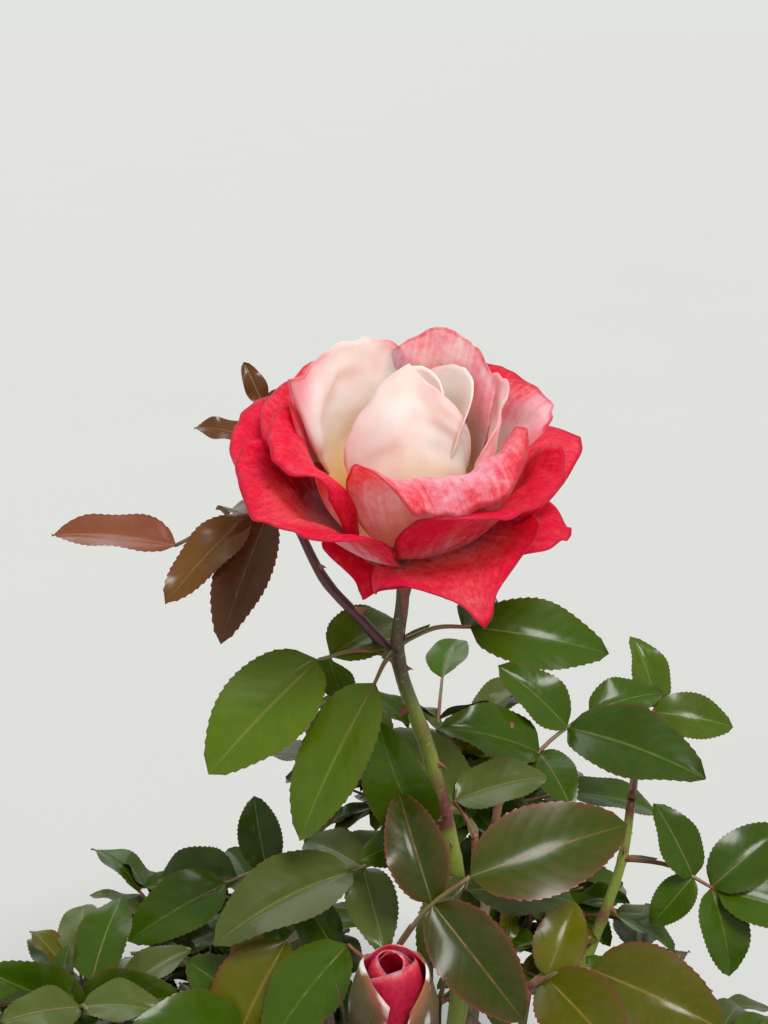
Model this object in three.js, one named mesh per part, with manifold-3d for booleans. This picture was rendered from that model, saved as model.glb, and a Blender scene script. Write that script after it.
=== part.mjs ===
// A young garden rose bush: one large two-tone bloom over a fan of canes, leafy shoots and one opening bud.
// Millimetres, +Z up. The origin is the centre of the flat cut under the main stem, at ground level.
// +X is to the right and -Y to the front, the side towards which the bloom nods.

import * as THREE from "three";
import { mergeVertices } from "three/addons/utils/BufferGeometryUtils.js";
import Module from "manifold-3d";

// ---------------------------------------------------------------- driving dimensions

const CLEARANCE = 0.3; // gap between pieces that seat on each other
const SLIVER = 0.08; // faces narrower than this, left by a join, are dissolved

const STEM_HEIGHT = 50;
const STEM_FOOT_RADIUS = 13;
const STEM_WAIST_RADIUS = 8.5;
const STEM_CROWN_RADIUS = 11;
const STEM_LEAN = [0.03, 0.02]; // sideways for each millimetre up
const STEM_SIDES = 20;
const ROOTS = 5; // ridges of the root flare
const ROOT_DEPTH = 0.14; // of a ridge, as a share of the radius
const ROOT_REACH = 14; // height at which the ridges have died away
const CANE_SIDES = 6;
const CANE_STEPS = 8;

const TWIG_FOOT_RADIUS = 1.7; // a mass's own stem
const TWIG_TIP_RADIUS = 1.2;
const BLADE_THICKNESS = 1; // of a leaflet at its midrib; the rim is sharp
const BLADE_WIDTH = 0.6; // of a leaflet, as a share of its length
const BLADE_SINK = 0.9; // how deep a leaflet's foot lies in its stalk
const BLADE_FOLD = 0.2; // how far the two halves rise above the midrib, as a share of the width
const STALK_RADIUS = 1.1;
const STALK_TIP_RADIUS = 0.7;
const STALK_ARCH = 0.1; // rise of a stalk's middle, as a share of its length
const STALK_PAIRS = { 3: [0.55], 5: [0.32, 0.68] }; // where side leaflets stand
const LONG_STALK = 52; // a longer stalk carries five leaflets, a shorter one three
const PAIR_SPREAD = 64; // degrees between a side leaflet and its stalk
const PAIR_SIZE = 0.86; // of the end leaflet
const LOWER_PAIR_SIZE = 0.72;
const PAIR_DROOP = 0.16;
const GOLDEN_ANGLE = 137.5; // degrees from one leaf to the next up a shoot
const ROOM_BETWEEN_BLADES = 5; // a rule leaflet that would come nearer to another leaf is skipped
const ROOM_BESIDE_LIMBS = 5;

const BLOOM_SEAT = [-5.9, 0, 325]; // where the petals leave the receptacle
const BLOOM_NOD = 19; // degrees that the bloom leans to the front
const HIP_HEIGHT = 12;
const HIP_RADIUS = 6.2;
const SEPAL_LENGTH = 24;
const SEPAL_WIDTH = 7;
const SEPAL_THICKNESS = 1;
const PETAL_THICKNESS = 0.9;
const PETAL_ROWS = 6;
const PETAL_COLUMNS = 5;

const BUD_SEAT = [-10, -65.9, 176];
const BUD_NOD = 6;
const BUD_RADIUS = 13.5;
const BUD_HEIGHT = 42;

const COLOURS = {
  bark: 0x6b5a3c,
  greenCane: 0x6f7d2e,
  purpleCane: 0x4d2229,
  leaf: 0x2f4d14,
  oliveLeaf: 0x565a17,
  copperLeaf: 0x6b3f24,
  calyx: 0x4f6130,
  creamPetal: 0xf6dcc4,
  pinkPetal: 0xe8808c,
  crimsonPetal: 0xc8102f,
};

// ---------------------------------------------------------------- helpers

const wasm = await Module();
wasm.setup();

const { degToRad, lerp, clamp, smoothstep } = THREE.MathUtils;
const vec = (place) => new THREE.Vector3(...place);
const smooth = (t) => smoothstep(t, 0, 1);

// A seeded row of numbers, the same on every run.
function seeded(seed) {
  let state = seed;
  return (low, high) => {
    state = (state * 1664525 + 1013904223) % 4294967296;
    return low + (high - low) * (state / 4294967296);
  };
}

// The unit vector with a compass heading (0 is +X, 90 is +Y) and a rise above level, in degrees.
function heading(azimuth, rise) {
  const [a, e] = [degToRad(azimuth), degToRad(rise)];
  return new THREE.Vector3(Math.cos(a) * Math.cos(e), Math.sin(a) * Math.cos(e), Math.sin(e));
}

function solidOf(points, triangles) {
  const geometry = new THREE.BufferGeometry().setFromPoints(points);
  geometry.setIndex(triangles);
  const merged = mergeVertices(geometry, 1e-4);
  const triVerts = new Uint32Array(merged.index.array);
  return new wasm.Manifold(
    new wasm.Mesh({ numProp: 3, vertProperties: merged.attributes.position.array, triVerts }),
  );
}

// A scrap that a cut leaves loose is dropped.
function largestBody(solid) {
  return solid.decompose().reduce((best, body) => (body.volume() > best.volume() ? body : best));
}

function geometryOf(solid) {
  const mesh = solid.getMesh();
  const points = [];
  for (let i = 0; i < mesh.numVert; i++)
    points.push(new THREE.Vector3().fromArray(mesh.vertProperties, i * mesh.numProp));
  const geometry = new THREE.BufferGeometry().setFromPoints(points);
  geometry.setIndex(Array.from(mesh.triVerts));
  const faceted = geometry.toNonIndexed();
  faceted.computeVertexNormals();
  return faceted;
}

// A tapering limb along a smooth curve through its places; radiusAt takes a share of the length.
function limbSolid(places, radiusAt, sides = CANE_SIDES, steps = CANE_STEPS) {
  const curve = new THREE.CatmullRomCurve3(places, false, "centripetal");
  const frames = curve.computeFrenetFrames(steps);
  const points = [];
  const triangles = [];
  for (let i = 0; i <= steps; i++) {
    const centre = curve.getPointAt(i / steps);
    for (let k = 0; k < sides; k++) {
      const turn = (k / sides) * Math.PI * 2;
      const out = frames.normals[i].clone().multiplyScalar(Math.cos(turn));
      out.addScaledVector(frames.binormals[i], Math.sin(turn));
      points.push(centre.clone().addScaledVector(out, radiusAt(i / steps)));
    }
  }
  for (let i = 0; i < steps; i++)
    for (let k = 0; k < sides; k++) {
      const a = i * sides + k;
      const b = i * sides + ((k + 1) % sides);
      triangles.push(a, b, b + sides, a, b + sides, a + sides);
    }
  const end = steps * sides;
  for (let k = 1; k < sides - 1; k++) triangles.push(0, k + 1, k, end, end + k, end + k + 1);
  return solidOf(points, triangles);
}

const part = new THREE.Group();
const finishes = {};
for (const [name, color] of Object.entries(COLOURS))
  finishes[name] = new THREE.MeshStandardMaterial({ color, roughness: 0.5, metalness: 0 });

function addMesh(group, name, solid, finish) {
  const mesh = new THREE.Mesh(geometryOf(solid), finishes[finish]);
  mesh.name = name;
  group.add(mesh);
  return mesh;
}

// ---------------------------------------------------------------- main stem and canes

const stemProfile = [
  [STEM_FOOT_RADIUS, 0],
  [STEM_FOOT_RADIUS * 0.86, 4],
  [STEM_WAIST_RADIUS + 0.8, 12],
  [STEM_WAIST_RADIUS, 22],
  [STEM_CROWN_RADIUS, 36],
  [STEM_CROWN_RADIUS * 0.9, 44],
  [STEM_CROWN_RADIUS * 0.45, STEM_HEIGHT],
]; // radius and height

// The main stem leans a little and flares into its roots; extra grows it all round, but not downwards.
function stemSolid(extra) {
  const points = [];
  const triangles = [];
  for (const [radius, height] of stemProfile)
    for (let k = 0; k < STEM_SIDES; k++) {
      const turn = (360 * k) / STEM_SIDES;
      const flare = 1 + ROOT_DEPTH * Math.max(0, 1 - height / ROOT_REACH) * Math.cos(degToRad(turn * ROOTS));
      const z = height > 0 ? height + extra : 0;
      const place = heading(turn, 0).multiplyScalar(radius * flare + extra);
      points.push(place.add(new THREE.Vector3(STEM_LEAN[0] * z, STEM_LEAN[1] * z, z)));
    }
  const last = (stemProfile.length - 1) * STEM_SIDES;
  for (let i = 0; i < last; i += STEM_SIDES)
    for (let k = 0; k < STEM_SIDES; k++) {
      const a = i + k;
      const b = i + ((k + 1) % STEM_SIDES);
      triangles.push(a, b, b + STEM_SIDES, a, b + STEM_SIDES, a + STEM_SIDES);
    }
  for (let k = 1; k < STEM_SIDES - 1; k++) triangles.push(0, k + 1, k, last, last + k, last + k + 1);
  return solidOf(points, triangles);
}

// Each cane: the places it runs through, and its radius at the foot and at the tip.
const CANES = {
  flowering_cane: {
    foot: 4.4, tip: 2.2,
    places: [
      [2, 0, 38], [10, 3, 110], [15, 3, 175], [3.5, 0, 243], [-8, 0, 282], [-6.6, 1.5, 300],
      [-5.9, 4, 312.2],
    ],
  },
  side_shoot: {
    foot: 2, tip: 1.6, places: [[-6, 0.4, 277], [-18, 4, 291], [-31.8, 10, 304.7], [-41, 15, 322]],
  },
  cane_right: {
    foot: 3.8, tip: 1.7,
    places: [[4, 1, 36], [36, 20, 80], [62, 40, 132], [77.8, 50, 176], [81, 55, 199]],
  },
  cane_right_back: {
    foot: 3.6, tip: 2, places: [[2, 3, 38], [18, 28, 100], [26, 46, 160], [29, 51, 190]],
  },
  cane_front: {
    foot: 3.8, tip: 2, places: [[0, -4, 36], [-4, -28, 90], [-12, -38, 150], [-13, -39, 178]],
  },
  cane_front_right: { foot: 3.4, tip: 1.9, places: [[3, -3, 36], [22, -26, 90], [29, -36, 150]] },
  cane_front_left: { foot: 3.4, tip: 1.9, places: [[-2, -3, 36], [-26, -22, 90], [-40, -30, 146]] },
  cane_left: { foot: 3.6, tip: 2, places: [[-4, 0, 36], [-45, 0, 86], [-84, -4, 116], [-106, -8, 128]] },
  cane_left_back: { foot: 3.4, tip: 1.9, places: [[-3, 3, 38], [-28, 30, 96], [-44, 46, 150]] },
  cane_back: { foot: 3.6, tip: 1.9, places: [[0, 4, 38], [4, 46, 100], [6, 82, 158]] },
  bud_stalk: { foot: 1.9, tip: 1.7, places: [[-9, -35, 132], [-10, -54, 146], [-10, -65, 165.5]] },
};
// A limb that springs from another one is cut clear of it.
const LIMB_CARRIERS = { side_shoot: "flowering_cane", bud_stalk: "cane_front" };

const stem = stemSolid(0);
addMesh(part, "main_stem", stem, "bark");

const caneSolids = {};
const thickCanes = {};
for (const [name, cane] of Object.entries(CANES)) {
  const places = cane.places.map(vec);
  const radiusAt = (extra) => (t) => lerp(cane.foot, cane.tip, t) + extra;
  thickCanes[name] = limbSolid(places, radiusAt(CLEARANCE));
  const carrier = LIMB_CARRIERS[name] ? thickCanes[LIMB_CARRIERS[name]] : stemSolid(CLEARANCE);
  let solid = limbSolid(places, radiusAt(0)).subtract(carrier);
  for (const other of Object.keys(caneSolids)) solid = solid.subtract(thickCanes[other]);
  caneSolids[name] = largestBody(solid);
  const colour = { side_shoot: "purpleCane", flowering_cane: "greenCane", cane_right: "greenCane" }[name];
  addMesh(part, name, caneSolids[name], colour ?? "bark");
}

// ---------------------------------------------------------------- leaves

// One leaflet: six rim points round two raised halves and a sunk midrib, twelve faces.
function bladeSolid({ base, tip, face, width }, extra) {
  const along = tip.clone().sub(base);
  const length = along.length() + BLADE_SINK + 2 * extra;
  along.normalize();
  const start = base.clone().addScaledVector(along, -BLADE_SINK - extra);
  const normal = face.clone().addScaledVector(along, -face.dot(along)).normalize();
  const side = new THREE.Vector3().crossVectors(along, normal);
  const half = (length * width) / 2 + extra;
  const rise = half * 2 * BLADE_FOLD;
  const at = (share, across, up) => {
    const place = start.clone().addScaledVector(along, share * length);
    return place.addScaledVector(side, across * half).addScaledVector(normal, up);
  };
  const points = [
    at(0, 0, 0),
    at(0.22, 0.78, rise * 0.7),
    at(0.6, 0.92, rise),
    at(1, 0, 0),
    at(0.6, -0.92, rise),
    at(0.22, -0.78, rise * 0.7),
    at(0.45, 0, BLADE_THICKNESS / 2 + extra),
    at(0.45, 0, -BLADE_THICKNESS / 2 - extra),
  ];
  const triangles = [];
  for (let k = 0; k < 6; k++) triangles.push(k, (k + 1) % 6, 6, (k + 1) % 6, k, 7);
  return solidOf(points, triangles);
}

// Points on a blade that stand for it when room is measured.
function bladeProbes({ base, tip, face, width }) {
  const along = tip.clone().sub(base);
  const half = (along.length() * width) / 2;
  const side = new THREE.Vector3().crossVectors(along, face).normalize();
  const at = (share, across) => {
    const place = base.clone().addScaledVector(along, share);
    return place.addScaledVector(side, across * half);
  };
  return [at(0.3, 0), at(0.6, 0), at(0.95, 0), at(0.3, 0.7), at(0.3, -0.7), at(0.65, 0.7), at(0.65, -0.7)];
}

// A compound leaf: an arched stalk from root to hub, an end leaflet to its tip, and pairs on the way.
// sides may give the tips of a pair outright; where it gives none, leaflets says how many the rule sets.
function leafParts(leaf) {
  const [root, hub, tip] = [vec(leaf.root), vec(leaf.hub), vec(leaf.tip)];
  const face = vec(leaf.face).normalize();
  const width = leaf.width ?? BLADE_WIDTH;
  const middle = root.clone().lerp(hub, 0.5);
  middle.z += root.distanceTo(hub) * STALK_ARCH;
  const stalk = new THREE.CatmullRomCurve3([root, middle, hub], false, "centripetal");
  const blades = [{ base: hub, tip, face, width }];
  for (const [share, ...tips] of leaf.sides ?? [])
    for (const place of tips) {
      const base = stalk.getPointAt(share);
      if (place) blades.push({ base, tip: vec(place), face, width });
    }
  const pairs = STALK_PAIRS[leaf.leaflets] ?? [];
  pairs.forEach((share, i) => {
    const base = stalk.getPointAt(share);
    const along = stalk.getTangentAt(share);
    const normal = face.clone().addScaledVector(along, -face.dot(along)).normalize();
    const size = hub.distanceTo(tip) * (i === pairs.length - 1 ? PAIR_SIZE : LOWER_PAIR_SIZE);
    for (const hand of [1, -1]) {
      const way = along.clone().applyAxisAngle(normal, degToRad(hand * PAIR_SPREAD));
      way.z -= PAIR_DROOP;
      blades.push({ base, tip: base.clone().addScaledVector(way.normalize(), size), face, width });
    }
  });
  return { stalk, blades };
}

// The leaves of a shoot by the rule: each a golden angle on from the last, the lower ones longer.
function ruleLeaves(shoot) {
  const random = seeded(shoot.seed);
  const curve = new THREE.CatmullRomCurve3(shoot.stem.map(vec), false, "centripetal");
  const leaves = [];
  for (let k = 0; k < shoot.count; k++) {
    const share = lerp(shoot.from, 0.97, shoot.count > 1 ? k / (shoot.count - 1) : 1);
    const root = curve.getPointAt(share);
    const azimuth = shoot.turn + k * GOLDEN_ANGLE + random(-14, 14);
    const rise = lerp(12, 46, share) + random(-8, 8);
    const reach = lerp(60, 42, share) * random(0.9, 1.12);
    const blade = lerp(38, 33, share) * random(0.9, 1.1);
    const hub = root.clone().addScaledVector(heading(azimuth, rise), reach);
    const tip = hub.clone().addScaledVector(heading(azimuth + random(-12, 12), rise - 30), blade);
    const face = heading(azimuth + random(-40, 40), 62 + random(-12, 12));
    const [rootPlace, hubPlace, tipPlace, faceWay] = [root, hub, tip, face].map((v) => v.toArray());
    const leaflets = reach > LONG_STALK ? 5 : 3;
    leaves.push({ root: rootPlace, hub: hubPlace, tip: tipPlace, face: faceWay, leaflets });
  }
  return leaves;
}

// Each mass of foliage: its stem, if it has one of its own, the leaves with a given place, and how many
// more the rule adds. A mass with no stem is one leaf whose stalk springs from the cane.
const MASSES = {
  leaf_node_left: {
    leaves: [
      {
        root: [-8, 0, 282], hub: [-33.7, -5, 283], tip: [-68, -27, 254], face: [-0.25, -0.8, 0.55],
        width: 0.62, sides: [[0.86, [-8, 21, 287], [-26, 8, 262]]],
      },
    ],
  },
  leaf_node_front: {
    leaves: [
      {
        root: [-9, 0, 284], hub: [-15.4, -14, 279], tip: [-41, -29, 231], face: [-0.45, -0.8, 0.35],
        width: 0.44,
      },
    ],
  },
  leaf_node_right: {
    leaves: [
      {
        root: [-7, 0, 287], hub: [16, 8, 289], tip: [62, 5, 282], face: [0.1, -0.7, 0.7], width: 0.54,
        sides: [[0.9, [30, 42, 286], null]],
      },
    ],
  },
  leaf_cane_low: {
    leaves: [
      {
        root: [8, 1, 222], hub: [0, -13, 225], tip: [-15, -16, 265], face: [-0.25, -0.93, 0.2],
        width: 0.56, sides: [[0.7, null, [-20, -26, 222]]],
      },
    ],
  },
  foliage_middle: {
    stem: [[14, 3, 180], [18.5, 6, 196], [19, 9, 212]],
    leaves: [
      {
        root: [18.5, 6, 196], hub: [15, -8, 200], tip: [53, -5, 194], face: [0.1, -0.4, 0.92],
        sides: [[0.5, null, [0, -20, 180]]],
      },
      {
        root: [19, 8.6, 210], hub: [12, 15, 221], tip: [45, 22, 228], face: [0, -0.35, 0.93],
        sides: [[0.6, [-12, 42, 236], null]],
      },
    ],
  },
  copper_shoot: {
    finish: "copperLeaf",
    stem: [[-41.2, 15.1, 322.5], [-48, 19, 338], [-53, 24, 352]],
    leaves: [
      {
        root: [-43, 16, 326], hub: [-81, 18, 314], tip: [-123, 22, 319], face: [0.1, -0.4, 0.9],
        width: 0.42, sides: [[0.35, [-82, -8, 305], [-68, 44, 318]], [0.18, [-65, -9, 291], null]],
      },
      {
        root: [-49, 20, 341], hub: [-57, 25, 349], tip: [-75, 28, 352], face: [0, -0.6, 0.8], width: 0.5,
        sides: [[0.6, [-60, 42, 352], null]],
      },
      {
        root: [-53, 24, 351], hub: [-52, 28, 359], tip: [-58, 30, 373], face: [0.2, -0.9, 0.3],
        width: 0.5, sides: [[0.6, [-44, 38, 362], null]],
      },
    ],
  },
  foliage_right_upper: {
    stem: [[29.2, 51.2, 190.5], [32, 56, 204], [36, 66, 226]],
    seed: 11, count: 1, turn: 80, from: 0.3,
    leaves: [
      {
        root: [31, 54, 198], hub: [66.9, 78, 224.5], tip: [97, 88, 229], face: [0, -0.5, 0.86],
        sides: [[0.48, [9, 55, 231], [56, 38, 206]], [0.78, [31.7, 80, 243.5], [106, 45, 215.3]]],
      },
    ],
  },
  foliage_right_tip: {
    stem: [[81, 55.1, 199.5], [86, 74, 206], [93, 92, 212]],
    seed: 23, count: 1, turn: 80, from: 0.4,
    leaves: [
      {
        root: [92, 90, 211.6], hub: [97, 100, 216], tip: [88.5, 110, 243], face: [0.3, -0.7, 0.6],
        sides: [[0.7, null, [128, 94, 211]]],
      },
    ],
  },
  leaf_right_low: {
    leaves: [
      {
        root: [78, 50, 177], hub: [111, 36, 172], tip: [148, 29, 164], face: [0.1, -0.6, 0.8],
        sides: [[0.94, [138, 50, 191], [116, 22, 144]], [0.74, [89, 47, 202], [87, 34, 158]]],
      },
    ],
  },
  foliage_front: {
    stem: [[-13, -39.1, 178.5], [-12, -40, 188], [-10, -40, 197]],
    leaves: [
      {
        root: [-10, -40, 196.4], hub: [13.9, -45, 228], tip: [65.3, -30, 239], face: [-0.1, -0.75, 0.66],
        width: 0.54, sides: [[0.6, [-8, -22, 245], [31, -60, 186]]],
      },
      { root: [-12.5, -39.5, 184], hub: [-24, -38, 199], tip: [-50, -56, 172], face: [-0.3, -0.6, 0.75] },
    ],
  },
  foliage_front_right: {
    stem: [[29, -36.1, 150.5], [32, -39, 168], [34, -40, 186]],
    leaves: [
      {
        root: [34, -40, 185], hub: [53, -41, 192], tip: [93, -58, 182], face: [0, -0.72, 0.7],
        width: 0.66, sides: [[0.3, [50, -24, 206], [60, -73, 182]]],
      },
      {
        root: [31, -38.4, 164], hub: [56, -50, 166], tip: [90, -68, 154], face: [0.2, -0.5, 0.85],
        leaflets: 3,
      },
    ],
  },
  leaf_left_mid: {
    leaves: [
      {
        root: [10, 1.6, 206], hub: [-23, -14, 211], tip: [-67, -38, 201], face: [-0.15, -0.4, 0.9],
        width: 0.56, sides: [[0.9, [-41, 8, 211], [-12, -38, 196]]],
      },
    ],
  },
  foliage_left_back: {
    stem: [[-44, 46.1, 150.5], [-48, 50, 162], [-51, 52, 171]],
    seed: 31, count: 1, turn: 150, from: 0.1,
    leaves: [
      {
        root: [-50.6, 51.8, 170], hub: [-72, 44, 170], tip: [-108, 29, 156], face: [-0.1, -0.6, 0.8],
        sides: [[0.8, [-101, 61, 162], null], [0.3, [-63, 66, 195], null]],
      },
    ],
  },
  foliage_left_low: {
    stem: [[-106.4, -8.1, 128.3], [-114, -9, 138], [-119, -10, 147]],
    seed: 41, count: 2, turn: 160, from: 0.1,
    leaves: [
      {
        root: [-118.8, -10, 146.4], hub: [-114, -6, 162], tip: [-108, 24, 178], face: [-0.2, -0.75, 0.6],
        sides: [[0.35, [-148, -16, 174], [-82, -22, 168]]],
      },
    ],
  },
  foliage_front_left: {
    stem: [[-40, -30.1, 146.5], [-42, -30, 160], [-40, -28, 176]],
    seed: 53, count: 1, turn: 200, from: 0.1,
    leaves: [
      {
        root: [-40, -28.2, 175], hub: [-44, -30, 195], tip: [-64, -50, 160], face: [-0.3, -0.8, 0.5],
        width: 0.66,
      },
      {
        root: [-41.5, -30, 164], hub: [-57, -46, 172], tip: [-91, -62, 184], face: [-0.1, -0.6, 0.8],
        leaflets: 3,
      },
      { root: [-41, -29.5, 170], hub: [-28, -20, 183], tip: [-42, -2, 199], face: [-0.2, -0.9, 0.3] },
    ],
  },
  foliage_back: {
    stem: [[6, 82.2, 158.6], [8, 90, 172], [8, 96, 188]], seed: 61, count: 4, turn: 20, from: 0.05,
    leaves: [],
  },
  foliage_back_left: {
    stem: [[-24, 28, 92], [-42, 56, 104], [-56, 80, 118]], seed: 71, count: 4, turn: 150, from: 0.3,
    leaves: [],
  },
  foliage_low_right: {
    stem: [[42, 25.5, 95], [76, 12, 108], [98, 0, 122]], seed: 83, count: 4, turn: -70, from: 0.3,
    leaves: [],
  },
  foliage_low_left: {
    stem: [[-60, -0.8, 98.5], [-74, 26, 112], [-86, 46, 128]], seed: 97, count: 4, turn: 100, from: 0.3,
    leaves: [],
  },
  foliage_low_front: {
    stem: [[-4, -30, 97], [-22, -56, 108], [-34, -76, 120]], seed: 103, count: 4, turn: 200, from: 0.35,
    leaves: [],
  },
  foliage_low_back: {
    stem: [[4, 52, 107], [36, 72, 118], [60, 86, 134]], seed: 113, count: 4, turn: 40, from: 0.3,
    leaves: [],
  },
};

// Leaves with a given place are all set first, so that the rule's own leaves keep clear of them.
const taken = [];
function take(leaf, blades) {
  for (const blade of blades) for (const place of bladeProbes(blade)) taken.push({ leaf, place });
}

const limbPlaces = Object.values(CANES).flatMap((cane) =>
  new THREE.CatmullRomCurve3(cane.places.map(vec), false, "centripetal").getSpacedPoints(24),
);

const isNear = (places, other, room) => places.some((place) => place.distanceTo(other) < room);

function bladeHasRoom(leaf, blade) {
  const probes = bladeProbes(blade);
  return (
    !taken.some((other) => other.leaf !== leaf && isNear(probes, other.place, ROOM_BETWEEN_BLADES)) &&
    !limbPlaces.some((place) => isNear(probes, place, ROOM_BESIDE_LIMBS))
  );
}

function stalkHasRoom(leaf) {
  const probes = [0.4, 0.6, 0.8, 1].map((share) => leaf.stalk.getPointAt(share));
  return (
    !taken.some((other) => isNear(probes, other.place, ROOM_BETWEEN_BLADES)) &&
    !limbPlaces.some((place) => isNear(probes, place, ROOM_BESIDE_LIMBS))
  );
}

const grown = {};
for (const [name, mass] of Object.entries(MASSES)) {
  grown[name] = mass.leaves.map(leafParts);
  for (const leaf of grown[name]) take(leaf, leaf.blades);
}
for (const [name, mass] of Object.entries(MASSES))
  for (const leaf of mass.count ? ruleLeaves(mass).map(leafParts) : []) {
    leaf.blades = leaf.blades.filter((blade) => bladeHasRoom(leaf, blade));
    if (leaf.blades.length < 2 || !stalkHasRoom(leaf)) continue;
    take(leaf, leaf.blades);
    grown[name].push(leaf);
  }

// A mass as one solid, grown all round by extra.
function massSolid(name, extra) {
  const { stem: twig } = MASSES[name];
  const twigRadiusAt = (t) => lerp(TWIG_FOOT_RADIUS, TWIG_TIP_RADIUS, t) + extra;
  const pieces = twig ? [limbSolid(twig.map(vec), twigRadiusAt, 5, 6)] : [];
  for (const { stalk, blades } of grown[name]) {
    const radiusAt = (t) => lerp(STALK_RADIUS, STALK_TIP_RADIUS, t) + extra;
    pieces.push(limbSolid(stalk.points, radiusAt, 3, 4));
    for (const blade of blades) pieces.push(bladeSolid(blade, extra));
  }
  return wasm.Manifold.union(pieces);
}

const thickPieces = [stemSolid(CLEARANCE), ...Object.values(thickCanes)];
for (const [name, mass] of Object.entries(MASSES)) {
  let solid = massSolid(name, 0);
  for (const thick of thickPieces) solid = solid.subtract(thick);
  thickPieces.push(massSolid(name, CLEARANCE));
  addMesh(part, name, largestBody(solid.simplify(SLIVER)), mass.finish ?? "leaf");
}

// ---------------------------------------------------------------- bloom

// A petal grows from the seat outwards and up. Its midline starts at the angle rise[0] above level, reaches
// rise[1] at the share "bend" of its length, and ends at rise[2]: past 90 it leans in, below 0 it rolls down.
// wrap gives how many degrees its width bends round the bloom's axis at the seat, the bend and the rim.
const PETAL_DEFAULTS = {
  seat: [4, 0],
  claw: 0.09, // width at the seat, as a share of the full width
  bend: 0.6,
  shoulder: 0.16, // how much shorter the petal is at its sides
  point: 0.03,
  taper: 0.1, // how much narrower the petal is at its end
  notch: 0,
  skew: 1.4, // one side lies this far outside the next petal, the other side inside
  roll: 0, // how far the side edges roll outwards
  lean: 0, // degrees the petal turns about the bloom's axis on its way up
  ruffle: 0,
  waves: 3,
  phase: 0,
};
const MIDLINE_STEPS = 24;

function petalMidline(petal) {
  const line = [{ r: petal.seat[0], h: petal.seat[1], angle: degToRad(petal.rise[0]) }];
  const step = petal.length / MIDLINE_STEPS;
  for (let i = 1; i <= MIDLINE_STEPS; i++) {
    const share = (i - 0.5) / MIDLINE_STEPS;
    const degrees =
      share < petal.bend
        ? lerp(petal.rise[0], petal.rise[1], smooth(share / petal.bend))
        : lerp(petal.rise[1], petal.rise[2], ((share - petal.bend) / (1 - petal.bend)) ** 1.4);
    const angle = degToRad(degrees);
    const last = line[i - 1];
    line.push({ r: last.r + step * Math.cos(angle), h: last.h + step * Math.sin(angle), angle });
  }
  return line;
}

// The point of a petal's middle surface at u from -1 to 1 across and s from 0 to 1 up, and its offset normal.
function petalPoint(petal, line, u, s) {
  const side = Math.abs(u);
  const notch = petal.notch * Math.max(0, 1 - side / 0.18);
  const reach = 1 - petal.shoulder * side ** 2.5 + petal.point * (1 - side) ** 2 - notch;
  const share = clamp(s * reach, 0, 1.25);
  const place = Math.min(share, 1) * MIDLINE_STEPS;
  const i = Math.min(Math.floor(place), MIDLINE_STEPS - 1);
  const f = place - i;
  const angle = lerp(line[i].angle, line[i + 1].angle, f);
  const past = Math.max(0, share - 1) * petal.length;
  const r = lerp(line[i].r, line[i + 1].r, f) + past * Math.cos(angle);
  const h = lerp(line[i].h, line[i + 1].h, f) + past * Math.sin(angle);
  const spread = petal.claw + (1 - petal.claw) * Math.sin((Math.min(1, share / 0.72) * Math.PI) / 2) ** 0.9;
  const half = (petal.width / 2) * spread * (1 - petal.taper * smoothstep(share, 0.6, 1));
  const wrap = degToRad(
    share < petal.bend
      ? lerp(petal.wrap[0], petal.wrap[1], smooth(share / petal.bend))
      : lerp(petal.wrap[1], petal.wrap[2], (share - petal.bend) / (1 - petal.bend)),
  );
  const turn = (u * wrap) / 2;
  const bendRadius = Math.abs(wrap) < 0.02 ? 0 : half / (wrap / 2);
  const across = bendRadius ? bendRadius * Math.sin(turn) : u * half;
  const lifted = bendRadius ? bendRadius * (1 - Math.cos(turn)) : 0;
  const edge = Math.max(0, (side - 0.55) / 0.45);
  const inwards =
    lifted -
    petal.roll * edge ** 2 * share -
    petal.skew * u * Math.min(1, share * 7) +
    petal.ruffle * Math.sin(petal.waves * Math.PI * u + petal.phase) * share ** 3;
  // In the petal's own upright plane: r outwards, h up, across to the side.
  const local = new THREE.Vector3(r - inwards * Math.sin(angle), across, h + inwards * Math.cos(angle));
  const azimuth = degToRad(petal.azimuth + petal.lean * share);
  return local.applyAxisAngle(new THREE.Vector3(0, 0, 1), azimuth);
}

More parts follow.
